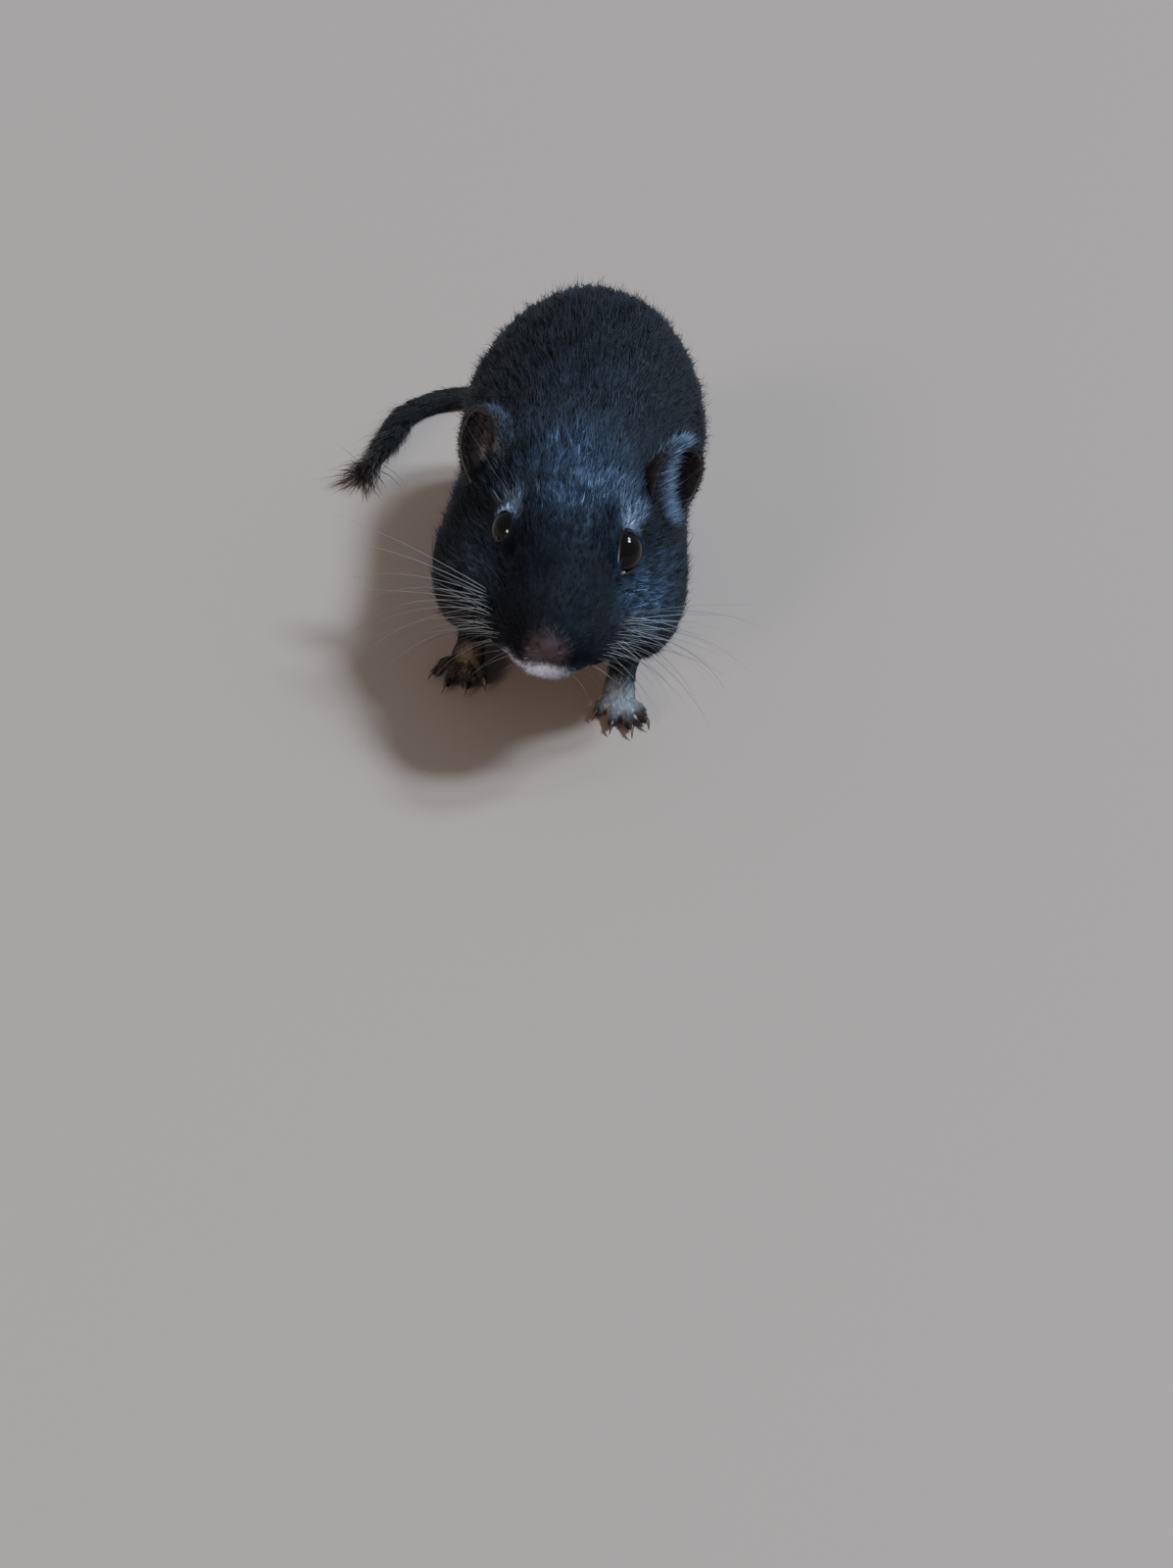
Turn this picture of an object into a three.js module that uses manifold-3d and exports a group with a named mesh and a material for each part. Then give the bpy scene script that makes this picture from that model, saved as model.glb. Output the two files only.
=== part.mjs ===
// A black gerbil, life size, standing on all four feet with its tail curled round on the ground.
// Millimetres, +Z up. The nose points along -Y and the animal's left side is +X.
// The surfaces are the coat as it lies on the animal. The brush of the tail is built lock by lock.

import * as THREE from 'three';
import { mergeVertices } from 'three/addons/utils/BufferGeometryUtils.js';
import Module from 'manifold-3d';

const wasm = await Module();
wasm.setup();

// Between two pieces that meet
const GAP = 0.3;
// The left forefoot stands a little ahead of the right one, and the hind feet the other way
const SIDES = [
  { name: 'left', side: 1, step: 1.6 },
  { name: 'right', side: -1, step: -1.6 },
];

// Trunk ribs from the nose to the rump. Each is an upright section at y: its height where it is
// widest, its half width there, and how far it reaches above and below that height.
const RIBS = [
  { y: -60.0, z: 25.5, half: 1.8, up: 1.8, down: 1.5 },
  { y: -59.3, z: 25.2, half: 3.5, up: 3.8, down: 2.8 },
  { y: -57.6, z: 24.5, half: 5.6, up: 6.7, down: 3.4 },
  { y: -54.6, z: 23.6, half: 7.7, up: 9.9, down: 4.2 },
  { y: -50.6, z: 22.6, half: 9.6, up: 13.4, down: 5.4 },
  { y: -46.0, z: 21.8, half: 11.5, up: 16.2, down: 7.0 },
  { y: -41.4, z: 20.8, half: 14.4, up: 19.3, down: 8.2 },
  { y: -36.4, z: 20.0, half: 18.0, up: 22.1, down: 9.2 },
  { y: -31.0, z: 19.8, half: 20.6, up: 24.0, down: 10.0 },
  { y: -25.0, z: 20.6, half: 21.0, up: 24.0, down: 11.0 },
  { y: -16.0, z: 22.2, half: 20.6, up: 22.6, down: 13.2 },
  { y: -6.0, z: 23.6, half: 20.8, up: 22.6, down: 15.4 },
  { y: 5.0, z: 24.2, half: 22.0, up: 24.0, down: 17.6 },
  { y: 16.0, z: 24.2, half: 23.6, up: 25.4, down: 18.8 },
  { y: 26.0, z: 23.6, half: 24.0, up: 25.2, down: 18.4 },
  { y: 35.0, z: 22.6, half: 22.4, up: 23.2, down: 17.0 },
  { y: 42.4, z: 20.8, half: 18.8, up: 19.2, down: 13.8 },
  { y: 48.0, z: 18.8, half: 13.4, up: 14.0, down: 9.8 },
  { y: 51.2, z: 17.2, half: 8.0, up: 8.4, down: 5.8 },
  { y: 52.4, z: 16.4, half: 3.2, up: 3.2, down: 2.6 },
];
const NOSE_TIP = { y: -60.3, z: 25.6 };
const RUMP_END = { y: 52.8, z: 16.2 };
// Rings for each stretch between ribs, close together on the face
const FACE_RIBS = 8;
const FACE_STEPS = 2;
const BODY_STEPS = 2;
const TRUNK_SIDES = 34;
// A section of this power is a little fuller than an ellipse
const SECTION_POWER = 2.15;
// and draws in towards the top
const SECTION_PINCH = 0.17;

// Swellings and hollows of the face, the same on both sides: where, how wide and how high
const FACE_FORMS = [
  { at: [6.8, -53.8, 22.8], reach: 3.8, rise: 1.1 },
  { at: [6.2, -41.5, 38.0], reach: 3.2, rise: 0.6 },
  { at: [7.6, -48.0, 30.0], reach: 3.6, rise: -0.9 },
  { at: [11.5, -36.5, 31.5], reach: 4.0, rise: -0.5 },
  { at: [15.0, -40.0, 17.0], reach: 7.5, rise: 3.2 },
];

const EYE = { at: [7.5, -41.0, 31.9], radius: 3.5, facing: [0.8, -0.45, 0.4] };
// Angles in degrees from the way that the eye faces
const LID = { opening: 66, narrowing: 11, back: 104, rim: 3, thick: 0.75, slant: 42, sides: 18 };
// The right eye is held a little more closed
const SQUINT = { left: 0, right: 10 };

const NOSE_PAD = { at: [0, -58.9, 25.8], radii: [2.6, 1.9, 1.9] };
const NOSTRIL = { at: [1.7, -60.0, 25.5], radii: [0.5, 1.3, 0.75], turn: 0.7 };
const LIP = { at: [2.7, -55.8, 22.4], radii: [3.4, 3.6, 2.7] };
const JAW = { at: [0, -48.2, 18.1], radii: [6.4, 7.6, 3.6], lean: -0.1 };
const MOUTH = { corner: [6.1, -50.4, 20.0], front: [0, -56.2, 20.5], bow: 1.7, wide: 1.1, high: 0.35 };

const EAR = {
  root: [13.6, -30.0, 33.4],
  rise: [0.16, 0.26, 0.95],
  facing: [0.66, -0.75, 0.1],
  length: 13.5,
  width: 10.8,
  depth: 4.2,
  wall: 0.8,
  sunk: 2.4,
  mouth: 0.1,
};

// A limb is a line of stations: a place, half the width and, where it differs, half the height
const FORELEG = [
  { at: [11.0, -10.5, 20.0], half: 5.2 },
  { at: [13.2, -13.0, 12.6], half: 6.0 },
  { at: [13.6, -19.0, 8.4], half: 4.6 },
  { at: [13.0, -26.0, 5.2], half: 3.1 },
  { at: [12.9, -34.6, 1.8], half: 2.1, high: 1.5 },
];
const FORE_PALM = [
  { at: [12.8, -27.5, 4.2], half: 2.5, high: 2.3 },
  { at: [12.9, -31.5, 1.8], half: 2.9, high: 2.2 },
  { at: [13.2, -35.4, 1.1], half: 3.0, high: 1.6 },
];
const FORE_TOES = {
  length: 4.9,
  radius: 1.05,
  claw: 2.6,
  heading: 0.1,
  spread: 4.6,
  fan: 0.95,
  reaches: [0.78, 1.0, 1.02, 0.8],
};
const FORE_PARTING = 0.72;

const HAUNCH = { at: [12.6, 27.5, 19.6], radii: [12.0, 17.4, 17.4], lean: -0.1 };
const SHANK = [
  { at: [15.6, 10.5, 13.5], half: 6.4 },
  { at: [17.0, 18.0, 8.6], half: 6.6 },
  { at: [17.0, 30.0, 6.4], half: 5.2 },
  { at: [16.3, 41.5, 5.0], half: 3.2 },
];
const HIND_SOLE = [
  { at: [15.8, 42.6, 2.1], half: 2.5, high: 2.6 },
  { at: [16.4, 32.0, 1.6], half: 2.7, high: 2.4 },
  { at: [17.4, 22.5, 1.1], half: 3.3, high: 1.8 },
];
const HIND_TOES = {
  length: 6.6,
  radius: 1.15,
  claw: 3.0,
  heading: 0.12,
  spread: 5.4,
  fan: 0.9,
  reaches: [0.6, 0.98, 1.08, 1.0, 0.62],
};

// The tail runs back from the rump, bends round to the right side and lies forward along it
const TAIL = {
  root: [0, 45.0, 16.0],
  length: 106,
  drop: 28,
  bend: { from: 2, to: 82, turn: 3.05 },
  radius: [3.5, 2.0],
  flat: 0.15,
  points: 36,
  sides: 12,
  cuts: [0.34, 0.66],
};
// Locks of the brush: where the first ones grow, their size and how far their tips stand off
const BRUSH = {
  from: 0.68,
  to: 0.985,
  locks: 27,
  length: 16,
  half: 1.3,
  thick: 0.42,
  core: 1.1,
  off: [0.3, 1.7],
};

const up = new THREE.Vector3(0, 0, 1);
const { lerp, degToRad, smoothstep } = THREE.MathUtils;

function vector(list, side = 1, step = 0) {
  return new THREE.Vector3(list[0] * side, list[1] - step, list[2]);
}

// A closed mesh from a start point, rings of equal count and an end point
function loft(start, rings, end) {
  const sides = rings[0].length;
  const points = [start, ...rings.flat(), end];
  const last = points.length - 1;
  const faces = [];
  for (let i = 0; i < sides; i++) {
    const j = (i + 1) % sides;
    faces.push(0, 1 + j, 1 + i);
    for (let k = 0; k < rings.length - 1; k++) {
      const a = 1 + k * sides;
      const b = a + sides;
      faces.push(a + i, a + j, b + i, a + j, b + j, b + i);
    }
    faces.push(last, last - sides + i, last - sides + j);
  }
  return new THREE.BufferGeometry().setFromPoints(points).setIndex(faces);
}

// A closed mesh from closed profiles set round in a ring
function hoop(profiles) {
  const sides = profiles[0].length;
  const faces = [];
  for (let k = 0; k < profiles.length; k++) {
    const a = k * sides;
    const b = ((k + 1) % profiles.length) * sides;
    for (let i = 0; i < sides; i++) {
      const j = (i + 1) % sides;
      faces.push(a + i, a + j, b + i, a + j, b + j, b + i);
    }
  }
  return new THREE.BufferGeometry().setFromPoints(profiles.flat()).setIndex(faces);
}

// A smooth limb through its stations, with ends that close in a blunt or a long taper
function limb(stations, { sides = 12, rings = 8, taper = 0.35, grow = 0 } = {}) {
  const line = new THREE.CatmullRomCurve3(stations.map((s) => s.at));
  const breadths = stations.map((s) => new THREE.Vector3(s.half, s.high ?? s.half, 0));
  const breadth = new THREE.CatmullRomCurve3(breadths);
  const loops = [];
  for (let k = 1; k <= rings; k++) {
    const angle = (Math.PI * k) / (rings + 1);
    const t = (1 - Math.cos(angle)) / 2;
    const swell = Math.sin(angle) ** taper;
    const { x: half, y: high } = breadth.getPoint(t);
    loops.push(ringAt(line, t, sides, (half + grow) * swell, (high + grow) * swell));
  }
  return solidOf(loft(line.getPoint(0), loops, line.getPoint(1)));
}

function ringAt(line, t, sides, half, high) {
  const centre = line.getPoint(t);
  const along = line.getTangent(t);
  const across = new THREE.Vector3().crossVectors(along, up).normalize();
  const over = new THREE.Vector3().crossVectors(across, along);
  const ring = [];
  for (let i = 0; i < sides; i++) {
    const turn = (2 * Math.PI * i) / sides;
    const point = centre.clone().addScaledVector(across, Math.cos(turn) * half);
    ring.push(point.addScaledVector(over, Math.sin(turn) * high));
  }
  return ring;
}

function solidOf(geometry) {
  const bare = new THREE.BufferGeometry();
  bare.setAttribute('position', geometry.getAttribute('position').clone());
  bare.setIndex(geometry.index);
  const merged = mergeVertices(bare, 1e-4);
  const vertProperties = new Float32Array(merged.attributes.position.array);
  const triVerts = new Uint32Array(merged.index.array);
  const made = new wasm.Manifold(new wasm.Mesh({ numProp: 3, vertProperties, triVerts }));
  if (made.volume() > 0) return made;
  triVerts.reverse();
  return new wasm.Manifold(new wasm.Mesh({ numProp: 3, vertProperties, triVerts }));
}

function geometryOf(solid) {
  const mesh = solid.getMesh();
  const geometry = new THREE.BufferGeometry();
  geometry.setAttribute('position', new THREE.BufferAttribute(mesh.vertProperties, 3));
  geometry.setIndex(new THREE.BufferAttribute(mesh.triVerts, 1));
  geometry.computeVertexNormals();
  return geometry;
}

// The closed surfaces of a solid, the largest first
function bodiesOf(solid) {
  return solid.decompose().sort((a, b) => b.volume() - a.volume());
}

// The largest of them, from the front of the animal to the back
function frontToBack(solid, count) {
  const middle = (body) => body.boundingBox().min[1] + body.boundingBox().max[1];
  return bodiesOf(solid)
    .slice(0, count)
    .sort((a, b) => middle(a) - middle(b));
}

function unionOf(solids) {
  return solids.reduce((whole, solid) => whole.add(solid));
}

function cutFrom(solid, cutters) {
  return cutters.reduce((rest, cutter) => rest.subtract(cutter), solid);
}

function ball({ at, radii, turn = 0, lean = 0 }, side, sides, rings, grow = 0) {
  const geometry = new THREE.SphereGeometry(1, sides, rings);
  geometry.scale(radii[0] + grow, radii[1] + grow, radii[2] + grow);
  geometry.rotateX(lean).rotateZ(turn * side);
  return solidOf(geometry.translate(at[0] * side, at[1], at[2]));
}

// A thin flat cutter across a place, square to a direction
function sheet(place, direction, size) {
  const geometry = new THREE.BoxGeometry(size, size, GAP);
  geometry.applyQuaternion(new THREE.Quaternion().setFromUnitVectors(up, direction));
  return solidOf(geometry.translate(place.x, place.y, place.z));
}

const aboveGround = solidOf(new THREE.BoxGeometry(400, 400, 400).translate(0, 0, 200));

// The trunk: one smooth skin from the nose to the rump
function trunk(grow) {
  const place = new THREE.CatmullRomCurve3(RIBS.map((r) => new THREE.Vector3(r.y, r.z, r.half)));
  const reach = new THREE.CatmullRomCurve3(RIBS.map((r) => new THREE.Vector3(r.up, r.down, 0)));
  for (const curve of [place, reach]) curve.curveType = 'catmullrom';
  const stretches = RIBS.length - 1;
  const shares = [];
  for (let k = 0; k < stretches; k++) {
    const steps = k < FACE_RIBS ? FACE_STEPS : BODY_STEPS;
    for (let s = 0; s < steps; s++) shares.push((k + s / steps) / stretches);
  }
  shares.push(1);
  const rings = shares.map((share) => {
    const { x: y, y: z, z: half } = place.getPoint(share);
    const { x: above, y: below } = reach.getPoint(share);
    return section(y, z, half + grow, above + grow, below + grow);
  });
  const start = new THREE.Vector3(0, NOSE_TIP.y - grow, NOSE_TIP.z);
  const end = new THREE.Vector3(0, RUMP_END.y + grow, RUMP_END.z);
  return solidOf(sculpted(loft(start, rings, end)));
}

function section(y, z, half, above, below) {
  const powered = (value) => Math.sign(value) * Math.abs(value) ** (2 / SECTION_POWER);
  const ring = [];
  for (let i = 0; i < TRUNK_SIDES; i++) {
    const turn = (2 * Math.PI * i) / TRUNK_SIDES;
    const lift = powered(Math.cos(turn));
    const rise = lift * (lift > 0 ? above : below);
    const x = powered(Math.sin(turn)) * half * (1 - SECTION_PINCH * Math.max(0, lift));
    ring.push(new THREE.Vector3(x, y, z + rise));
  }
  return ring;
}

// Moves each point in or out along its normal by the forms of the face
function sculpted(geometry) {
  geometry.computeVertexNormals();
  const position = geometry.getAttribute('position');
  const normal = geometry.getAttribute('normal');
  const forms = FACE_FORMS.flatMap((form) =>
    SIDES.map(({ side }) => ({ ...form, at: vector(form.at, side) })),
  );
  const point = new THREE.Vector3();
  const out = new THREE.Vector3();
  for (let i = 0; i < position.count; i++) {
    point.fromBufferAttribute(position, i);
    out.fromBufferAttribute(normal, i);
    let rise = 0;
    for (const form of forms) {
      rise += form.rise * Math.exp(-point.distanceToSquared(form.at) / form.reach ** 2);
    }
    point.addScaledVector(out, rise);
    position.setXYZ(i, point.x, point.y, point.z);
  }
  return geometry;
}

// The two lids of an eye as one rim of skin over the ball, open in the middle
function lids(name, side) {
  const centre = vector(EYE.at, side);
  const axis = vector(EYE.facing, side).normalize();
  // The corners of the lids lie along a line that climbs from the nose towards the ear
  const slant = new THREE.Vector3(0, -1, 0).projectOnPlane(axis).normalize();
  slant.applyAxisAngle(axis, side * degToRad(LID.slant));
  const square = new THREE.Vector3().crossVectors(axis, slant);
  const inner = EYE.radius + GAP;
  const outer = inner + LID.thick;
  const profiles = [];
  for (let i = 0; i < LID.sides; i++) {
    const turn = (2 * Math.PI * i) / LID.sides;
    const spoke = slant.clone().multiplyScalar(Math.cos(turn));
    spoke.addScaledVector(square, Math.sin(turn));
    const edge = LID.opening - SQUINT[name] - LID.narrowing * Math.sin(turn) ** 2;
    const profile = [
      [inner - GAP, LID.back], [inner - GAP, edge + LID.rim], [(inner + outer) / 2, edge],
      [outer, edge + LID.rim], [outer, (edge + LID.back) / 2], [inner, LID.back + LID.rim],
    ];
    profiles.push(
      profile.map(([radius, degrees]) => {
        const angle = degToRad(degrees);
        const point = centre.clone().addScaledVector(axis, radius * Math.cos(angle));
        return point.addScaledVector(spoke, radius * Math.sin(angle));
      }),
    );
  }
  return solidOf(hoop(profiles));
}

function mouthLine() {
  const stations = [-1, -0.55, 0, 0.55, 1].map((share) => {
    const at = vector(MOUTH.front).lerp(vector(MOUTH.corner, Math.sign(share) || 1), Math.abs(share));
    at.y -= MOUTH.bow * Math.sin(Math.PI * Math.abs(share));
    return { at, half: MOUTH.wide, high: MOUTH.high };
  });
  return limb(stations, { sides: 6, rings: 10 });
}

function faceOf(head) {
  const added = [ball(NOSE_PAD, 1, 14, 10), ball(JAW, 1, 16, 12)];
  const cut = [mouthLine()];
  const socket = { at: EYE.at, radii: [EYE.radius, EYE.radius, EYE.radius] };
  for (const { name, side } of SIDES) {
    added.push(ball(LIP, side, 14, 10), lids(name, side));
    cut.push(ball(NOSTRIL, side, 8, 6), ball(socket, side, 18, 12, GAP));
  }
  return cutFrom(unionOf([head, ...added]), cut);
}

// An egg-shaped cup, broad at the top and open on the side that it faces
function ear(side) {
  const rise = vector(EAR.rise, side).normalize();
  const facing = vector(EAR.facing, side).projectOnPlane(rise).normalize();
  const across = new THREE.Vector3().crossVectors(facing, rise);
  const basis = new THREE.Matrix4().makeBasis(across, facing, rise);
  const centre = vector(EAR.root, side).addScaledVector(rise, EAR.length / 2 - EAR.sunk);
  const set = (geometry) => {
    geometry.applyMatrix4(basis).translate(centre.x, centre.y, centre.z);
    return solidOf(geometry);
  };
  const opening = new THREE.BoxGeometry(40, 20, 40).translate(0, 10 + EAR.depth * EAR.mouth, 0);
  return set(egg(0)).subtract(set(egg(EAR.wall))).subtract(set(opening));
}

function egg(shrink) {
  const geometry = new THREE.SphereGeometry(1, 20, 12).rotateX(Math.PI / 2);
  const position = geometry.getAttribute('position');
  for (let i = 0; i < position.count; i++) {
    const high = position.getZ(i);
    const narrow = 1 - 0.3 * ((1 - high) / 2) ** 1.6;
    position.setXYZ(
      i,
      position.getX(i) * narrow * (EAR.width / 2 - shrink),
      position.getY(i) * narrow * (EAR.depth - shrink),
      high * (EAR.length / 2 - shrink),
    );
  }
  return geometry;
}

// Toes that fan out from the front of a sole, each arched down to the ground with a hooked claw
function toes(form, sole, side, step) {
  const front = vector(sole.at(-1).at, side, step);
  const middle = (form.reaches.length - 1) / 2;
  return form.reaches.flatMap((reach, i) => {
    const spread = (i - middle) / middle;
    const heading = side * (form.heading + (spread * form.fan) / 2);
    const along = new THREE.Vector3(Math.sin(heading), -Math.cos(heading), 0);
    const base = front.clone();
    base.x += (side * spread * form.spread) / 2;
    base.y += (1 - reach) * form.length * 0.9 + 0.8;
    const at = (share, z) => base.clone().addScaledVector(along, share * form.length * reach).setZ(z);
    const { radius } = form;
    const bone = [
      { at: at(-0.1, radius * 1.6), half: radius },
      { at: at(0.4, radius * 1.8), half: radius },
      { at: at(0.8, radius * 1.0), half: radius * 0.95 },
      { at: at(1.05, radius * 0.65), half: radius * 0.8 },
    ];
    const hook = (form.claw / form.length) * 0.95;
    const claw = [
      { at: at(0.8, radius * 1.15), half: 0.42, high: 0.5 },
      { at: at(0.9 + hook / 2, radius * 1.45), half: 0.36, high: 0.42 },
      { at: at(0.95 + hook, 0.3), half: 0.1, high: 0.12 },
    ];
    return [limb(bone, { sides: 7, rings: 4 }), limb(claw, { sides: 5, rings: 3, taper: 0.3 })];
  });
}

function placed(stations, side, step) {
  return stations.map((station) => ({ ...station, at: vector(station.at, side, step) }));
}

function foot(sole, form, side, step) {
  const pad = limb(placed(sole, side, step), { sides: 12, rings: 6 });
  return unionOf([pad, ...toes(form, sole, side, step)]).intersect(aboveGround);
}

function haunch(side, step, grow) {
  const thigh = ball(HAUNCH, side, 22, 14, grow);
  const shank = limb(placed(SHANK, side, step), { sides: 12, rings: 8, grow });
  return thigh.add(shank);
}

function foreleg(side, step, grow) {
  return limb(placed(FORELEG, side, step), { sides: 14, rings: 9, grow });
}

// Stations along the tail, which falls to the ground behind the rump
function tailStations() {
  const place = vector(TAIL.root);
  const pace = TAIL.length / TAIL.points;
  const stations = [];
  for (let i = 0; i <= TAIL.points; i++) {
    const gone = i * pace;
    const half = lerp(TAIL.radius[0], TAIL.radius[1], gone / TAIL.length);
    const fall = smoothstep(gone, 0, TAIL.drop);
    const at = place.clone().setZ(lerp(TAIL.root[2], half - TAIL.flat, fall));
    stations.push({ at, half });
    const heading = TAIL.bend.turn * smoothstep(gone, TAIL.bend.from, TAIL.bend.to);
    place.x -= Math.sin(heading) * pace;
    place.y += Math.cos(heading) * pace;
  }
  return stations;
}

const tail = tailStations();
const tailLine = new THREE.CatmullRomCurve3(tail.map((station) => station.at));

// A length of the tail with flat ends
function tailLength(from, to, halfAt, grow = 0) {
  const rings = Math.round((to - from) * 30);
  const loops = [];
  for (let k = 0; k <= rings; k++) {
    const t = lerp(from, to, k / rings);
    loops.push(ringAt(tailLine, t, TAIL.sides, halfAt(t) + grow, halfAt(t) + grow));
  }
  const length = solidOf(loft(tailLine.getPoint(from), loops, tailLine.getPoint(to)));
  return length.intersect(aboveGround);
}

function tailHalf(t) {
  return lerp(TAIL.radius[0], TAIL.radius[1], t);
}

// Beneath the locks the tail thins to its tip
function coreHalf(t) {
  return lerp(tailHalf(t), BRUSH.core, smoothstep(t, TAIL.cuts[1], 1));
}

// A place beside the tail's line, which runs straight on past its tip
function besideTail(t, turn, distance) {
  const held = Math.min(t, 1);
  const along = tailLine.getTangent(held);
  const across = new THREE.Vector3().crossVectors(along, up).normalize();
  const out = across.multiplyScalar(Math.cos(turn)).addScaledVector(up, Math.sin(turn) * 0.6 + 0.4);
  const place = tailLine.getPoint(held).addScaledVector(along, (t - held) * TAIL.length);
  return place.addScaledVector(out.normalize(), distance);
}

class SeededRandom {
  constructor(seed) {
    this.state = seed;
  }

  // A value between two limits
  between(low, high) {
    this.state = (this.state * 16807) % 2147483647;
    return lerp(low, high, this.state / 2147483647);
  }
}

// The brush: flat locks that grow round the last stretch of the tail and lie back along it
function brush() {
  const random = new SeededRandom(7);
  const golden = Math.PI * (3 - Math.sqrt(5));
  const pieces = [tailLength(TAIL.cuts[1] + GAP / TAIL.length, 1, coreHalf)];
  for (let i = 0; i < BRUSH.locks; i++) {
    const share = i / (BRUSH.locks - 1);
    const t = lerp(BRUSH.from, BRUSH.to, share);
    const turn = i * golden;
    const reach = (BRUSH.length * random.between(0.8, 1.15)) / TAIL.length;
    const stand = Math.sin(Math.PI * lerp(0.1, 0.85, share));
    const off = lerp(BRUSH.off[0], BRUSH.off[1], stand) * random.between(0.7, 1.3);
    const sway = random.between(-0.25, 0.25);
    const lock = [
      { at: besideTail(t, turn, coreHalf(t) * 0.35), half: BRUSH.half * 0.8, high: BRUSH.thick },
      { at: besideTail(t + reach * 0.5, turn + sway, coreHalf(t) * 0.75 + off), half: BRUSH.half,
        high: BRUSH.thick },
      { at: besideTail(t + reach, turn + sway * 2, coreHalf(t) * 0.5 + off), half: 0.16, high: 0.14 },
    ];
    for (const { at, high } of lock) at.z = Math.max(at.z, high);
    pieces.push(limb(lock, { sides: 4, rings: 4 }));
  }
  return unionOf(pieces).intersect(aboveGround);
}

const LOOKS = {
  coat: { color: 0x17181d, roughness: 0.6 },
  ear: { color: 0x2a2628, roughness: 0.7 },
  eye: { color: 0x060506, roughness: 0.08 },
  foot: { color: 0x3a3230, roughness: 0.7 },
};

const model = new THREE.Group();

function addNode(name, solid, look) {
  const material = new THREE.MeshStandardMaterial({ ...LOOKS[look], metalness: 0 });
  const mesh = new THREE.Mesh(geometryOf(bodiesOf(solid)[0]), material);
  mesh.name = name;
  model.add(mesh);
}

const NECK_FRONT = { place: [0, -23.0, 27], lean: 0.12 };
const NECK_BACK = { place: [0, -9.5, 27], lean: -0.1 };

function crosscut({ place, lean }) {
  return sheet(vector(place), new THREE.Vector3(0, Math.cos(lean), Math.sin(-lean)), 110);
}

const limbs = SIDES.flatMap(({ side, step }) => [
  foreleg(side, step, GAP),
  haunch(side, -step, GAP),
]);
const tailHole = tailLength(0, 0.2, tailHalf, GAP);
const cutters = [...limbs, tailHole, crosscut(NECK_FRONT), crosscut(NECK_BACK)];
const [head, neck, torso] = frontToBack(cutFrom(trunk(0), cutters), 3);
addNode('head', faceOf(head), 'coat');
addNode('neck', neck, 'coat');
addNode('torso', torso, 'coat');

const trunkGrown = trunk(GAP);
for (const { name, side, step } of SIDES) {
  const eyeball = { at: EYE.at, radii: [EYE.radius, EYE.radius, EYE.radius] };
  addNode('eye_' + name, ball(eyeball, side, 16, 10), 'eye');
  addNode('ear_' + name, ear(side).subtract(trunkGrown), 'ear');

  const forearm = new THREE.CatmullRomCurve3(placed(FORELEG, side, step).map((s) => s.at));
  const wrist = sheet(forearm.getPoint(FORE_PARTING), forearm.getTangent(FORE_PARTING), 16);
  const arm = foreleg(side, step, 0).add(foot(FORE_PALM, FORE_TOES, side, step));
  const [paw, upperArm] = frontToBack(arm.intersect(aboveGround).subtract(wrist), 2);
  addNode('forefoot_' + name, paw, 'foot');
  addNode('foreleg_' + name, upperArm, 'coat');

  addNode('hindleg_' + name, haunch(side, -step, 0).intersect(aboveGround), 'coat');
  const hindfoot = foot(HIND_SOLE, HIND_TOES, side, -step).subtract(haunch(side, -step, GAP));
  addNode('hindfoot_' + name, hindfoot, 'foot');
}

const parting = GAP / TAIL.length;
addNode('tail_base', tailLength(0, TAIL.cuts[0], tailHalf), 'coat');
addNode('tail_middle', tailLength(TAIL.cuts[0] + parting, TAIL.cuts[1], tailHalf), 'coat');
addNode('tail_brush', brush(), 'coat');

// The origin lies under the middle of the whole animal, on the ground
const bounds = new THREE.Box3().setFromObject(model);
const middle = bounds.getCenter(new THREE.Vector3());
model.position.set(-middle.x, -middle.y, -bounds.min.z);

export default model;
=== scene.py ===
import bmesh
import bpy
import math
import numpy as np
from mathutils import Matrix, Vector
from mathutils.kdtree import KDTree


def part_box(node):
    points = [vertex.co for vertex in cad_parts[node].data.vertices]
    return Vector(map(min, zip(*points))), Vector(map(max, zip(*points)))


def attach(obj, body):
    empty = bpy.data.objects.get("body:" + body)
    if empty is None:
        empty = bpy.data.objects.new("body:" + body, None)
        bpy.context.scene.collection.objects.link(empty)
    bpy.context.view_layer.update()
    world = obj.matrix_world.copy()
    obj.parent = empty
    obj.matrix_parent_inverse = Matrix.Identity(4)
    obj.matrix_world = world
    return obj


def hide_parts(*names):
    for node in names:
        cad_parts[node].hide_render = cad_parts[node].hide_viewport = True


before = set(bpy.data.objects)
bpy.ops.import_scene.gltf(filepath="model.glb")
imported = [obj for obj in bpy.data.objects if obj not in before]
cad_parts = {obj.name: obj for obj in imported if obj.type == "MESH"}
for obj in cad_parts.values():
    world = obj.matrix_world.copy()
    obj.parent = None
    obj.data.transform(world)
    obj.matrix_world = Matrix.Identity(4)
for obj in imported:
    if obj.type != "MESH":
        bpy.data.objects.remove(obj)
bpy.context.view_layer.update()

# All shaping is done in millimetres about the middle of the chest, nose along -Y, then moved
# to the frame by the place of the left eye.
mm = 0.001
eye = {
    "at": (7.5, -41.0, 31.9),
    "radius": 3.5,
    "facing": (0.8, -0.45, 0.4),
    "slant": 42.0,         # the corners climb from the nose towards the ear
    "parting": {1: 2.2, -1: 0.6},     # how strongly the fur parts round it
    # half the gap between the lids in degrees at the corners, how much less it is across them, and
    # what the front corner adds; the right eye is held a little more closed
    "lids": {1: (62.0, 11.0, 15.0), -1: (38.5, -2.0, -3.0)},
}
eyeLow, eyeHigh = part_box("eye_left")
origin = (np.array(eyeLow) + np.array(eyeHigh)) / 2 - np.array(eye["at"]) * mm
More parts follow.
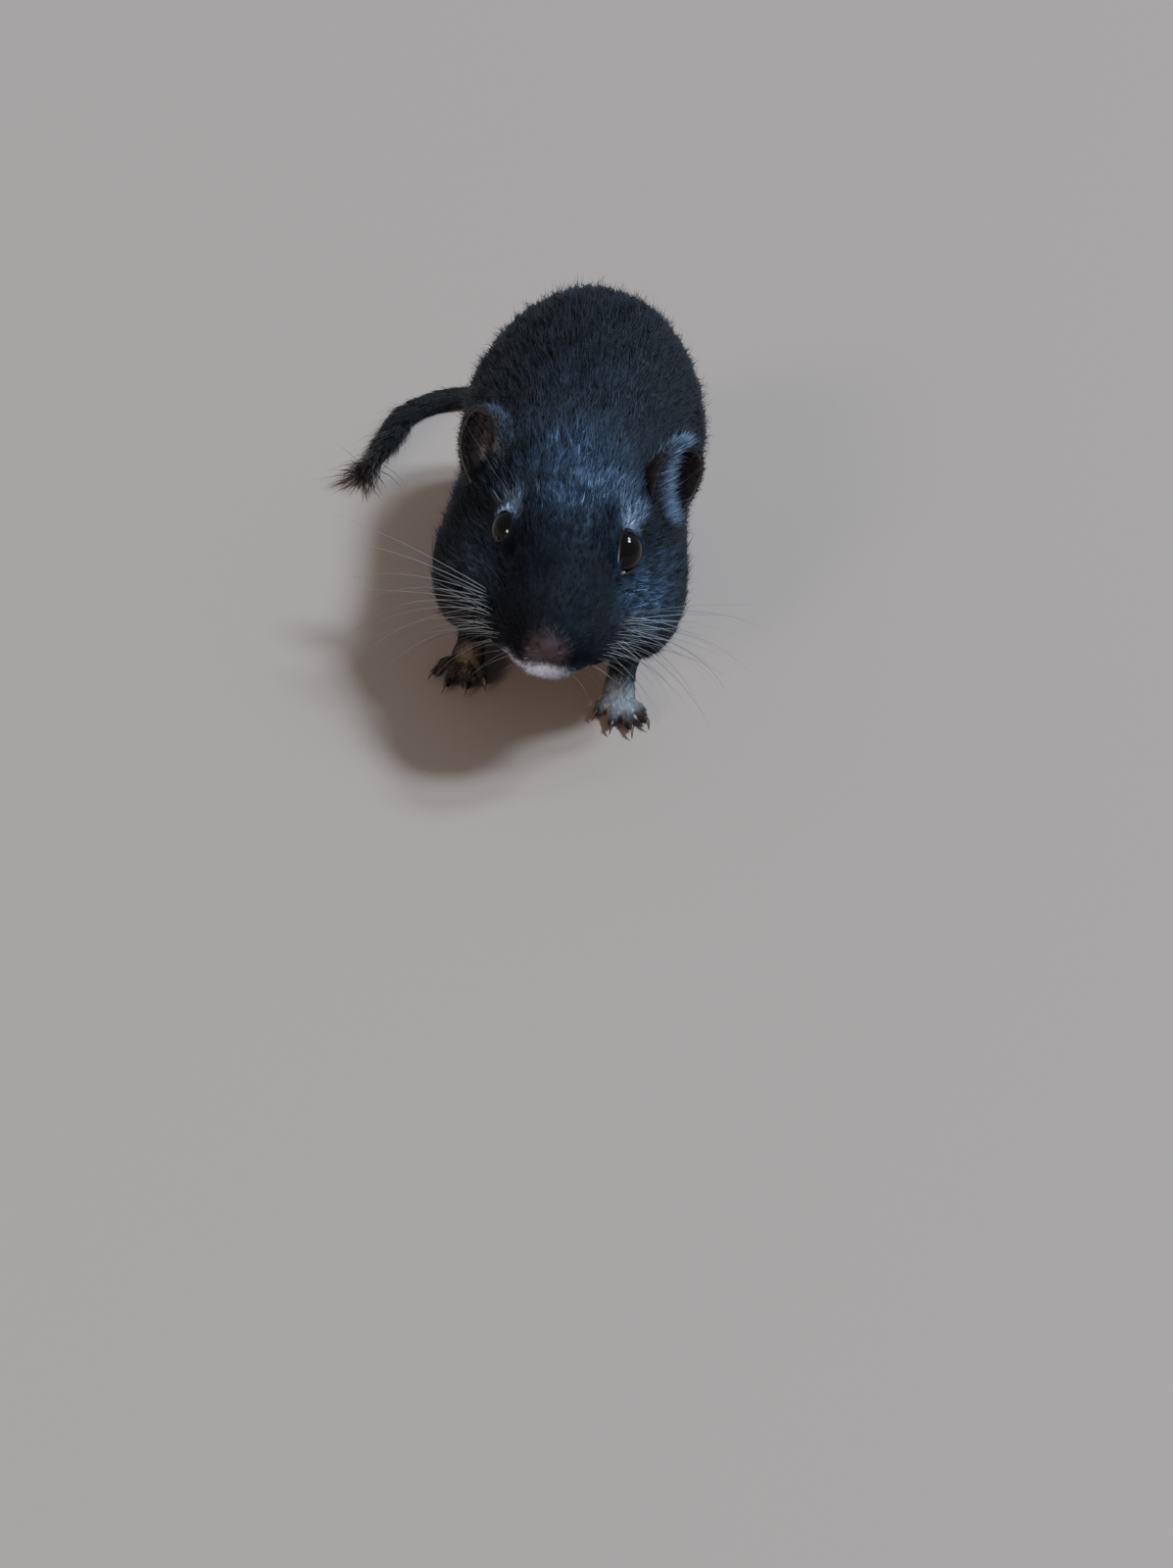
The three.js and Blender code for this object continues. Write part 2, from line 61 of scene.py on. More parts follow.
steps = {1: 1.6, -1: -1.6}     # the left forefoot is ahead, and the right hind foot

body = {
    # y, height of the widest place, half width, reach above it, reach below it
    "ribs": np.array([
        (-60, 25.5, 1.8, 1.8, 1.5), (-59.3, 25.2, 3.5, 3.8, 2.8), (-57.6, 24.5, 5.6, 6.7, 3.4),
        (-54.6, 23.6, 7.7, 9.9, 4.2), (-50.6, 22.6, 9.6, 13.4, 5.4), (-46, 21.8, 11.5, 16.2, 7),
        (-41.4, 20.8, 14.4, 19.3, 8.2), (-36.4, 20, 18, 22.1, 9.2), (-31, 19.8, 20.6, 24, 10),
        (-25, 20.6, 21, 24, 11), (-16, 22.2, 20.6, 22.6, 13.2), (-6, 23.6, 20.8, 22.6, 15.4),
        (5, 24.2, 22, 24, 17.6), (16, 24.2, 23.6, 25.4, 18.8), (26, 23.6, 24, 25.2, 18.4),
        (35, 22.6, 22.4, 23.2, 17), (42.4, 20.8, 18.8, 19.2, 13.8), (48, 18.8, 13.4, 14, 9.8),
        (52.4, 16.4, 3.2, 3.2, 2.6),
    ]),
    "nose": (0.0, -60.3, 25.6),
    "nostril": (1.7, -60.0, 25.5),
    "foreleg": [(11, -10.5, 20, 5.2, 5.2), (13.2, -13, 12.6, 6, 6), (13.6, -19, 8.4, 4.6, 4.6),
                (13, -26, 5.2, 3.1, 3.1), (12.9, -34.6, 1.8, 2.1, 1.5)],
    "palm": [(12.8, -27.5, 4.2, 2.5, 2.3), (12.9, -31.5, 1.8, 2.9, 2.2), (13.2, -35.4, 1.1, 3.0, 1.6)],
    "haunch": {"at": (12.6, 27.5, 19.6), "radii": (12.0, 17.4, 17.4)},
    "shank": [(15.6, 10.5, 13.5, 6.4, 6.4), (17, 18, 8.6, 6.6, 6.6), (17, 30, 6.4, 5.2, 5.2),
              (16.3, 41.5, 5, 3.2, 3.2)],
    "sole": [(15.8, 42.6, 2.1, 2.5, 2.6), (16.4, 32, 1.6, 2.7, 2.4), (17.4, 22.5, 1.1, 3.3, 1.8)],
}
toes = {
    "fore": {"length": 4.9, "radius": 1.05, "claw": 2.3, "heading": 0.1, "spread": 4.6, "fan": 0.95,
             "reaches": (0.78, 1.0, 1.02, 0.8)},
    "hind": {"length": 6.6, "radius": 1.15, "claw": 2.7, "heading": 0.12, "spread": 5.4, "fan": 0.9,
             "reaches": (0.6, 0.98, 1.08, 1.0, 0.62)},
}
tail = {
    "root": (0.0, 45.0, 16.0), "length": 106.0, "drop": 28.0, "from": 2.0, "to": 82.0, "turn": 3.05,
    "radii": (3.5, 2.0), "flat": 0.15, "points": 36,
}


def unit(v):
    v = np.asarray(v, float)
    return v / np.maximum(np.linalg.norm(v, axis=-1, keepdims=True), 1e-9)


def blend(value, low, high):
    t = np.clip((np.asarray(value, float) - low) / (high - low), 0, 1)
    return t * t * (3 - 2 * t)


def mirrored(at, side, ahead=0.0):
    return np.array([at[0] * side, at[1] - ahead, at[2]], float)


def tailStations():
    pace = tail["length"] / tail["points"]
    x, y = tail["root"][0], tail["root"][1]
    rows = []
    for i in range(tail["points"] + 1):
        gone = i * pace
        half = tail["radii"][0] + (tail["radii"][1] - tail["radii"][0]) * gone / tail["length"]
        fall = float(blend(gone, 0, tail["drop"]))
        z = tail["root"][2] + (half - tail["flat"] - tail["root"][2]) * fall
        rows.append((x, y, z, half))
        heading = tail["turn"] * float(blend(gone, tail["from"], tail["to"]))
        x -= math.sin(heading) * pace
        y += math.cos(heading) * pace
    return np.array(rows)


tailRows = tailStations()


# A Catmull-Rom curve through rows of numbers, read at shares of its length in rows
def curveAt(rows, shares):
    rows = np.asarray(rows, float)
    padded = np.vstack([2 * rows[0] - rows[1], rows, 2 * rows[-1] - rows[-2]])
    place = np.clip(np.asarray(shares, float), 0, 1) * (len(rows) - 1)
    k = np.minimum(place.astype(int), len(rows) - 2)
    t = (place - k)[:, None]
    a, b, c, d = (padded[k + i] for i in range(4))
    return 0.5 * (2 * b + (c - a) * t + (2 * a - 5 * b + 4 * c - d) * t ** 2
                  + (3 * b - a - 3 * c + d) * t ** 3)


# Faces of rows of points that close in a single point at both ends
def cappedFaces(sides, rows):
    last = sides * rows + 1
    faces = []
    for i in range(sides):
        j = (i + 1) % sides
        faces.append((0, 1 + j, 1 + i))
        for k in range(rows - 1):
            a = 1 + k * sides
            faces.append((a + i, a + j, a + sides + j, a + sides + i))
        faces.append((last, last - sides + i, last - sides + j))
    return faces


# Points and faces of a limb through rows of x, y, z, half width, half height
def limb(rows, sides=16, rings=14, taper=0.35):
    angle = math.pi * np.arange(1, rings + 1) / (rings + 1)
    shares = (1 - np.cos(angle)) / 2
    swell = np.sin(angle) ** taper
    at = curveAt(rows, shares)
    along = unit(curveAt(rows, shares + 0.01)[:, :3] - curveAt(rows, shares - 0.01)[:, :3])
    across = unit(np.cross(along, (0, 0, 1)))
    over = np.cross(across, along)
    turn = 2 * math.pi * np.arange(sides) / sides
    wide, high = ((at[:, k] * swell)[:, None, None] for k in (3, 4))
    ring = (at[:, None, :3] + across[:, None] * (np.cos(turn)[:, None] * wide)
            + over[:, None] * (np.sin(turn)[:, None] * high))
    rows = np.asarray(rows, float)
    points = np.vstack([rows[:1, :3], ring.reshape(-1, 3), rows[-1:, :3]])
    return points, cappedFaces(sides, rings)


def ballMesh(at, radius, sides=32, rings=20):
    points = [(0, 0, -1)]
    for k in range(1, rings):
        a = math.pi * k / rings
        points += [(math.sin(a) * math.cos(2 * math.pi * i / sides),
                    math.sin(a) * math.sin(2 * math.pi * i / sides), -math.cos(a)) for i in range(sides)]
    points.append((0, 0, 1))
    return np.array(points) * radius + np.array(at), cappedFaces(sides, rings - 1)


# Toes and claws of one foot: the bone rows and the claw rows of each toe
def toeRows(kind, side, ahead):
    form = toes[kind]
    front = mirrored(body["palm" if kind == "fore" else "sole"][-1][:3], side, ahead)
    middle = (len(form["reaches"]) - 1) / 2
    r = form["radius"] * 1.12      # the smoothing takes a little off
    rows = []
    for i, reach in enumerate(form["reaches"]):
        spread = (i - middle) / middle
        heading = side * (form["heading"] + spread * form["fan"] / 2)
        along = np.array([math.sin(heading), -math.cos(heading), 0])
        base = front + (side * spread * form["spread"] / 2, (1 - reach) * form["length"] * 0.9 + 0.8, 0)

        def at(share, z, half, high):
            p = base + along * share * form["length"] * reach
            return (p[0], p[1], z, half, high)

        hook = form["claw"] / form["length"] * 0.95
        bone = [at(-0.1, r * 1.6, r, r), at(0.22, r * 1.95, r * 0.86, r * 0.9), at(0.42, r * 1.8, r, r),
                at(0.64, r * 1.35, r * 0.84, r * 0.86), at(0.82, r * 1.0, r * 0.95, r * 0.92),
                at(1.05, r * 0.65, r * 0.8, r * 0.66)]
        claw = [at(0.84, r * 1.2, 0.40, 0.46), at(0.9 + hook * 0.3, r * 1.5, 0.37, 0.44),
                at(0.93 + hook * 0.6, r * 1.36, 0.3, 0.34), at(0.95 + hook, 0.32, 0.07, 0.09)]
        rows.append((bone, claw))
    return rows


def sideRows(rows, side, ahead):
    return [(x * side, y - ahead, z, half, high) for x, y, z, half, high in rows]


def newMesh(name, points, faces):
    mesh = bpy.data.meshes.new(name)
    places = np.asarray(points) * mm + origin
    mesh.from_pydata(places.tolist(), [], [tuple(int(i) for i in f) for f in faces])
    mesh.update()
    return mesh


def newPiece(name, mesh, material):
    piece = bpy.data.objects.new(name, mesh)
    bpy.context.scene.collection.objects.link(piece)
    mesh.materials.append(material)
    mesh.shade_smooth()
    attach(piece, "root")
    return piece


def joined(parts):
    points, faces, start = [], [], 0
    for p, f in parts:
        points.append(np.asarray(p, float))
        faces += [tuple(i + start for i in face) for face in f]
        start += len(p)
    return np.vstack(points), faces


def arrayMesh(name, points, triangles):
    mesh = bpy.data.meshes.new(name)
    mesh.vertices.add(len(points))
    mesh.vertices.foreach_set("co", (points * mm + origin).astype(np.float32).ravel())
    mesh.loops.add(triangles.size)
    mesh.loops.foreach_set("vertex_index", triangles.astype(np.int32).ravel())
    mesh.polygons.add(len(triangles))
    mesh.polygons.foreach_set("loop_start", np.arange(0, triangles.size, 3, dtype=np.int32))
    mesh.update(calc_edges=True)
    return mesh


def floatAttribute(mesh, name, values):
    mesh.attributes.new(name, "FLOAT", "POINT").data.foreach_set("value", np.asarray(values, np.float32))


def colourAttribute(mesh, name, colours):
    rgba = np.ones((len(colours), 4), np.float32)
    rgba[:, :3] = colours
    mesh.attributes.new(name, "FLOAT_COLOR", "POINT").data.foreach_set("color", rgba.ravel())


# Slow waves through space, between about -1 and 1
def drift(points, wavelength, seed):
    random = np.random.default_rng(seed)
    total = np.zeros(len(points))
    for k in range(5):
        wave = unit(random.normal(size=3)) * 2 * math.pi / (wavelength * random.uniform(0.7, 1.4))
        total += np.sin(points @ wave + random.uniform(0, 2 * math.pi))
    return total / 2.6


def socket(group, name, kind, inward, value=None):
    s = group.interface.new_socket(name=name, in_out="INPUT" if inward else "OUTPUT", socket_type=kind)
    if value is not None:
        s.default_value = value


# A value between 0 and 1 spread over another range
def ranged(nodes, links, value, low, high):
    node = nodes.new("ShaderNodeMapRange")
    links.new(value, node.inputs["Value"])
    node.inputs["To Min"].default_value = low
    node.inputs["To Max"].default_value = high
    return node


def product(nodes, links, first, second):
    node = nodes.new("ShaderNodeMath")
    node.operation = "MULTIPLY"
    links.new(first, node.inputs[0])
    links.new(second, node.inputs[1])
    return node.outputs[0]


# The colour of a hair from its marking: darker at the root, and a little apart from its neighbours
def coatToneGroup():
    group = bpy.data.node_groups.new("coatTone", "ShaderNodeTree")
    socket(group, "Marking", "NodeSocketColor", True)
    socket(group, "Tone", "NodeSocketFloat", True, 0.5)
    socket(group, "Along", "NodeSocketFloat", True, 0.5)
    socket(group, "Root Shade", "NodeSocketFloat", True, 0.6)
    socket(group, "Tip Light", "NodeSocketFloat", True, 1.3)
    socket(group, "Mottle Scale", "NodeSocketFloat", True, 400.0)
    socket(group, "Color", "NodeSocketColor", False)
    nodes, links = group.nodes, group.links
    inn, out = nodes.new("NodeGroupInput"), nodes.new("NodeGroupOutput")
    place = nodes.new("ShaderNodeTexCoord")
    noise = nodes.new("ShaderNodeTexNoise")
    noise.inputs["Detail"].default_value = 3.0
    links.new(place.outputs["Object"], noise.inputs["Vector"])
    links.new(inn.outputs["Mottle Scale"], noise.inputs["Scale"])
    fade = ranged(nodes, links, inn.outputs["Along"], 0.0, 1.0)
    links.new(inn.outputs["Root Shade"], fade.inputs["To Min"])
    links.new(inn.outputs["Tip Light"], fade.inputs["To Max"])
    tone = ranged(nodes, links, inn.outputs["Tone"], 0.7, 1.35)
    mottle = ranged(nodes, links, noise.outputs["Fac"], 0.6, 1.4)
    shade = product(nodes, links, fade.outputs["Result"], tone.outputs["Result"])
    shade = product(nodes, links, shade, mottle.outputs["Result"])
    scale = nodes.new("ShaderNodeVectorMath")
    scale.operation = "SCALE"
    links.new(inn.outputs["Marking"], scale.inputs["Vector"])
    links.new(shade, scale.inputs["Scale"])
    links.new(scale.outputs["Vector"], out.inputs["Color"])
    return group


# The fine relief of bare and haired skin
def fineSkinGroup():
    group = bpy.data.node_groups.new("fineSkin", "ShaderNodeTree")
    socket(group, "Scale", "NodeSocketFloat", True, 900.0)
    socket(group, "Pore Depth", "NodeSocketFloat", True, 0.4)
    socket(group, "Height", "NodeSocketFloat", False)
    nodes, links = group.nodes, group.links
    inn, out = nodes.new("NodeGroupInput"), nodes.new("NodeGroupOutput")
    place = nodes.new("ShaderNodeTexCoord")
    noise = nodes.new("ShaderNodeTexNoise")
    noise.inputs["Detail"].default_value = 4.0
    pores = nodes.new("ShaderNodeTexVoronoi")
    pores.feature = "SMOOTH_F1"
    for texture in (noise, pores):
        links.new(place.outputs["Object"], texture.inputs["Vector"])
        links.new(inn.outputs["Scale"], texture.inputs["Scale"])
    mix = nodes.new("ShaderNodeMix")
    links.new(inn.outputs["Pore Depth"], mix.inputs["Factor"])
    links.new(noise.outputs["Fac"], mix.inputs["A"])
    links.new(pores.outputs["Distance"], mix.inputs["B"])
    links.new(mix.outputs["Result"], out.inputs["Height"])
    return group


coatTone = coatToneGroup()
fineSkin = fineSkinGroup()


def newMaterial(name, roughness, specular=0.5):
    material = bpy.data.materials.new(name)
    material.use_nodes = True
    shader = material.node_tree.nodes["Principled BSDF"]
    shader.inputs["Roughness"].default_value = roughness
    shader.inputs["Specular IOR Level"].default_value = specular
    return material, material.node_tree.nodes, material.node_tree.links, shader


def attributeNode(nodes, name):
    node = nodes.new("ShaderNodeAttribute")
    node.attribute_name = name
    return node


def addGrain(nodes, links, shader, scale, strength):
    grain = nodes.new("ShaderNodeGroup")
    grain.node_tree = fineSkin
    grain.inputs["Scale"].default_value = scale
    bump = nodes.new("ShaderNodeBump")
    bump.inputs["Strength"].default_value = strength
    bump.inputs["Distance"].default_value = 0.0002
    links.new(grain.outputs["Height"], bump.inputs["Height"])
    links.new(bump.outputs["Normal"], shader.inputs["Normal"])


def coatMaterial(name, values):
    material, nodes, links, shader = newMaterial(name, values["roughness"], values["specular"])
    tone = nodes.new("ShaderNodeGroup")
    tone.node_tree = coatTone
    links.new(attributeNode(nodes, "marking").outputs["Color"], tone.inputs["Marking"])
    links.new(attributeNode(nodes, "tone").outputs["Fac"], tone.inputs["Tone"])
    links.new(attributeNode(nodes, "along").outputs["Fac"], tone.inputs["Along"])
    tone.inputs["Root Shade"].default_value = values["rootShade"]
    tone.inputs["Tip Light"].default_value = values["tipLight"]
    tone.inputs["Mottle Scale"].default_value = values["mottleScale"]
    links.new(tone.outputs["Color"], shader.inputs["Base Color"])
    shader.inputs["Sheen Weight"].default_value = values["sheen"]
    shader.inputs["Sheen Roughness"].default_value = 0.35
    shader.inputs["Sheen Tint"].default_value = (0.62, 0.72, 1.0, 1)
    if "bump" in values:
        addGrain(nodes, links, shader, values["grainScale"], values["bump"])
    return material


# Bare skin and horn, clouded between a dark and a light colour
def bareMaterial(name, dark, light, scale, roughness, bump):
    material, nodes, links, shader = newMaterial(name, roughness)
    place = nodes.new("ShaderNodeTexCoord")
    noise = nodes.new("ShaderNodeTexNoise")
    noise.inputs["Scale"].default_value = scale
    noise.inputs["Detail"].default_value = 4.0
    links.new(place.outputs["Object"], noise.inputs["Vector"])
    ramp = nodes.new("ShaderNodeValToRGB")
    ramp.color_ramp.elements[0].position = 0.35
    ramp.color_ramp.elements[1].position = 0.68
    ramp.color_ramp.elements[0].color = (*dark, 1)
    ramp.color_ramp.elements[1].color = (*light, 1)
    links.new(noise.outputs["Fac"], ramp.inputs["Fac"])
    links.new(ramp.outputs["Color"], shader.inputs["Base Color"])
    addGrain(nodes, links, shader, scale * 3, bump)
    return material


# How far out each place is on the trunk, 1 at its surface, and the height of the trunk's middle there
def trunkReach(points):
    ribs = body["ribs"]
    y = points[:, 1]
    z, half, above, below = (np.interp(y, ribs[:, 0], ribs[:, k]) for k in range(1, 5))
    rise = points[:, 2] - z
    up = np.where(rise > 0, above, below)
    share = np.sqrt((points[:, 0] / half) ** 2 + (rise / up) ** 2)
    past = np.maximum(0, np.abs(y - np.clip(y, -60, 52.4)))
    return share + past / 4, z


# Nearest place on a line of rows, its share of the length, and how many radii away it is
def lineReach(points, rows):
    rows = np.asarray(rows, float)
    best = np.full(len(points), 1e9)
    share = np.zeros(len(points))
    lie = np.zeros((len(points), 3))
    off = np.zeros((len(points), 3))
    for k in range(len(rows) - 1):
        a, b = rows[k, :3], rows[k + 1, :3]
        t = np.clip((points - a) @ (b - a) / ((b - a) @ (b - a)), 0, 1)
        gap = points - (a + t[:, None] * (b - a))
        radius = rows[k, 3] + (rows[k + 1, 3] - rows[k, 3]) * t
        near = np.linalg.norm(gap, axis=1) / radius
        closer = near < best
        best = np.where(closer, near, best)
        share = np.where(closer, (k + t) / (len(rows) - 1), share)
        lie[closer] = unit(b - a)
        off[closer] = gap[closer]
    return best, share, lie, off


tailOwner = 11     # after the trunk and the five parts of each side
coat = {
    # along the trunk: y, length, width, lift in degrees, depth of the coat, tufts per square millimetre
    "trunk": np.array([
        (-61, 0.8, 0.070, 24, 0.12, 44), (-57, 1.2, 0.076, 20, 0.2, 44), (-53, 1.7, 0.084, 17, 0.32, 40),
        (-47, 2.4, 0.090, 15, 0.55, 32), (-41, 3.1, 0.096, 14, 0.8, 23), (-34, 4.0, 0.104, 14, 1.1, 16),
        (-26, 4.8, 0.114, 14, 1.4, 11), (-16, 5.4, 0.124, 13, 1.6, 8.6), (0, 5.9, 0.134, 12, 1.7, 7.2),
        (30, 6.1, 0.134, 12, 1.7, 7.2), (46, 5.6, 0.128, 12, 1.6, 8), (53, 4.5, 0.122, 12, 1.3, 9),
    ]),
    "foreleg": (3.0, 0.105, 12, 0.6, 14),
    "palm": (2.1, 0.078, 13, 0.15, 22),
    "haunch": (5.6, 0.13, 11, 1.5, 7.5),
    "shank": (4.0, 0.115, 12, 1.0, 10),
    "sole": (2.2, 0.085, 14, 0.15, 19),
    "tail": (3.2, 0.11, 11, 0.7, 12),
    # a foot's hair fans out from a place behind the heel, and its line runs on over the toes
    "fan": {"palm": {"from": (12.8, -24.5, 3.0), "flat": 0.35, "over": (0.9, 4.0, 1.2), "toes": "fore"},
            "sole": {"from": (15.8, 52.0, 3.0), "flat": 0.3, "over": (1.0, 4.4, 1.2), "toes": "hind"}},
    "sides": 0.32,       # how far the hair of the flanks turns down
    "border": 7.0,       # how sharply one part's coat gives way to the next
}


# How the coat lies: for each point the way it lies, its length, width, lift, depth and count,
# and the island and the place on it in the unwrap
def coatAt(points, normals):
    n = len(points)
    near, lies, sizes, spots = [], [], [], []

    share, z = trunkReach(points)
    table = coat["trunk"]
    y = points[:, 1]
    nose = np.array(body["nose"]) + (0, -5.0, -1.5)
    back = np.zeros((n, 3))
    back[:, 1] = 1.0
    back[:, 2] = -coat["sides"] * blend(np.abs(points[:, 0]), 4, 20) * blend(y, -36, -10)
    away = unit(points - nose)
    facing = blend(-y, 26, 44)[:, None]
    lie = back * (1 - facing) + away * facing
    for side in (1, -1):      # parted round the eyes
        gap = points - mirrored(eye["at"], side)
        apart = np.linalg.norm(gap, axis=1) / 5.0
        lie = lie + unit(gap) * (eye["parting"][side] * np.exp(-apart ** 2))[:, None]
    near.append(share)
    lies.append(unit(lie))
    sizes.append(np.stack([np.interp(y, table[:, 0], table[:, k]) for k in range(1, 6)], axis=1))
    angle = np.arctan2(points[:, 0], points[:, 2] - z) / (2 * math.pi) + 0.5
    spots.append(np.stack([angle, (y + 62) / 116], axis=1))

    def add(key, rows, fan=None):
        reach, along, lie, off = lineReach(points, rows)
        size = np.tile(coat[key], (n, 1))
        if fan is not None:      # a foot's hair is short on the toes and longer at the hind heel
            lie = fan
            heel = (1 - blend(along, 0.2, 0.6)) * (key == "sole")
            size[:, 0] *= 1.15 - 0.65 * blend(along, 0.5, 0.9) + 0.75 * heel
            size[:, 2] += 9 * heel
            size[:, 4] *= 1 + 0.9 * blend(along, 0.6, 0.9)
        near.append(reach)
        lies.append(lie)
        sizes.append(size)
        turn = np.arctan2(off[:, 0], off[:, 2]) / (2 * math.pi) + 0.5
        spots.append(np.stack([turn, along], axis=1))

    def addFoot(key, side, ahead):
        form = coat["fan"][key]
        rows = sideRows(body[key], side, ahead)
        rows.append((rows[-1][0], rows[-1][1] - toes[form["toes"]]["length"], *form["over"]))
        add(key, rows, unit((points - mirrored(form["from"], side, ahead)) * (1, 1, form["flat"])))

    for side in (1, -1):
        ahead = steps[side]
        add("foreleg", sideRows(body["foreleg"][:4], side, ahead))
        addFoot("palm", side, ahead)
        haunchAt = mirrored(body["haunch"]["at"], side, -ahead)
        gap = (points - haunchAt) / np.array(body["haunch"]["radii"])
        near.append(np.linalg.norm(gap, axis=1))
        down = np.zeros((n, 3))
        down[:, 1] = 1.0
        down[:, 2] = -0.35 - 0.5 * blend(-gap[:, 2], -0.4, 0.9)
        lies.append(unit(down))
        sizes.append(np.tile(coat["haunch"], (n, 1)))
        turn = np.arctan2(gap[:, 1], gap[:, 2]) / (2 * math.pi) + 0.5
        spots.append(np.stack([turn, np.clip(np.abs(gap[:, 0]) / 1.2, 0, 1)], axis=1))
        add("shank", sideRows(body["shank"], side, -ahead))
        addFoot("sole", side, -ahead)
    add("tail", tailRows[2:])

    near = np.stack(near, axis=1)
    weight = np.exp(-coat["border"] * (near - near.min(axis=1, keepdims=True)))
    weight /= weight.sum(axis=1, keepdims=True)
    lie = sum(weight[:, k:k + 1] * lies[k] for k in range(len(lies)))
    size = sum(weight[:, k:k + 1] * sizes[k] for k in range(len(sizes)))
    owner = near.argmin(axis=1)
    spot = np.stack(spots, axis=1)[np.arange(n), owner]
    facing = np.degrees(np.arcsin(np.clip(np.sum(unit(lie) * normals, axis=1), 0, 1)))
    size[:, 2] = np.where(owner == tailOwner, np.maximum(size[:, 2], facing), size[:, 2])
    lie = unit(lie - normals * np.sum(lie * normals, axis=1, keepdims=True))
    return lie, size, owner, spot


markings = {
    "black": (0.0047, 0.0057, 0.0092),
    "brownBlack": (0.0190, 0.0150, 0.0130),
    # painted sheen: the blue reflection of the window light on the black fur
    "sheen": (0.0440, 0.0620, 0.1030),
    # pale brow hair, with painted highlight of the window light on it
    "frostAndHighlight": (0.1750, 0.2250, 0.3200),
    "muzzle": (0.1250, 0.0880, 0.1020),
    "white": (0.8000, 0.8100, 0.9600),
    "cream": (0.2500, 0.2000, 0.1300),
    "silver": (0.3600, 0.3800, 0.4200),
    "footHair": (0.0520, 0.0400, 0.0360),
}
# marking, strength, place, radii, softness of the edge
marks = {
    "crown": [
        # painted sheen of the window light: weak over the nape, strong on the forehead, weak on the
        # bridge, strong on the left cheek and weaker on the right
        ("sheen", 0.22, (1.0, -24.0, 44.0), (14.0, 17.0, 9.0), 0.9),
        ("sheen", 0.95, (1.0, -35.6, 41.6), (7.2, 8.2, 5.5), 0.7),
        ("sheen", 0.18, (0.5, -43.0, 37.5), (5.0, 5.0, 4.0), 0.8),
        ("sheen", 0.68, (13.3, -42.4, 26.5), (5.2, 7.4, 4.4), 0.95),
        ("sheen", 0.35, (-12.5, -43.0, 26.5), (4.5, 6.5, 4.0), 0.8),
        # pale brow hair over each eye, brightened as painted highlight of the window light
        ("frostAndHighlight", 0.95, (9.4, -39.5, 36.2), (1.9, 2.2, 1.9), 0.7),
        ("frostAndHighlight", 0.35, (6.8, -37.6, 38.6), (1.6, 2.4, 1.8), 0.8),
        ("frostAndHighlight", 0.95, (-10.4, -40.2, 35.6), (2.9, 2.5, 2.3), 0.7),
    ],
    "muzzle": [
        ("brownBlack", 0.5, (5.0, -53.5, 26.5), (3.5, 4.0, 3.5), 0.6),
        ("brownBlack", 0.5, (-5.0, -53.5, 26.5), (3.5, 4.0, 3.5), 0.6),
        ("muzzle", 0.9, (-0.3, -59.4, 24.4), (2.5, 2.8, 2.8), 0.5),
        # painted shade in the hollows beside the nose
        ("black", 0.9, (4.3, -57.6, 24.8), (1.8, 2.2, 2.0), 0.5),
        ("black", 0.9, (-4.3, -57.6, 24.8), (1.8, 2.2, 2.0), 0.5),
        ("white", 1.0, (-0.6, -55.8, 20.1), (5.4, 4.4, 3.3), 0.22),
    ],
    "feet": [
        ("cream", 0.85, mirrored((12.8, -33.4, 3.6), -1, steps[-1]), (1.9, 2.6, 2.2), 0.5),
        ("silver", 0.85, mirrored((13.0, -34.4, 3.4), 1, steps[1]), (3.4, 4.2, 2.8), 0.45),
    ],
    "paintedFaceSheen": (1.35, 1.25, 1.05),     # painted sheen: the flat hair of the face is painted lighter by this share, for the gloss that its coat material lacks
}


# The animal's markings, with painted sheen, highlight and shade among them, for the coat by its roots
# and for the skin alike
def markingAt(points):
    x, y, z = points.T
    wave = drift(points, 7.0, 3) * 0.5 + drift(points, 2.2, 4) * 0.35
    colour = np.tile(markings["black"], (len(points), 1)).astype(float)

    def paint(name, share):
        nonlocal colour
        share = np.clip(share, 0, 1)[:, None]
        colour = colour * (1 - share) + np.array(markings[name]) * share

    def paintMarks(rows):
        for name, strength, at, radii, soft in rows:
            gap = np.linalg.norm((points - np.array(at)) / np.array(radii), axis=1)
            paint(name, strength * (1 - blend(gap + wave * 0.16, 1 - soft, 1 + soft)))

    lowSide = blend(np.abs(x), 9, 19) * blend(-z, -26, -14)
    paint("brownBlack", 0.7 * lowSide + 0.2 * wave)
    # painted warm shade: the lower right side of the head and neck, turned from the window light, is
    # painted brown-black
    paint("brownBlack", 0.55 * blend(-x, 8, 15) * blend(-z, -34, -26) * blend(-y, 20, 34))
    paintMarks(marks["crown"])
    # painted sheen: the colour of the face is made lighter
    colour *= 1 + np.array(marks["paintedFaceSheen"]) * blend(-y, 37, 45)[:, None]
    paintMarks(marks["muzzle"])
    foot = blend(-z, -6.5, -3.0) * blend(-y, 24, 28) * blend(np.abs(x), 7, 9)
    hind = blend(-z, -5.0, -2.5) * blend(y, 4, 8) * blend(np.abs(x), 9, 11) * blend(-y, -46, -42)
    paint("footHair", 0.9 * np.maximum(foot, hind))
    paintMarks(marks["feet"])
    return colour


skinForm = {
    "voxel": 0.3,
    "grow": 0.22,          # so that the nodes' surfaces run into one another
    "bodyRounds": 50,
    "triangles": 170000,
}


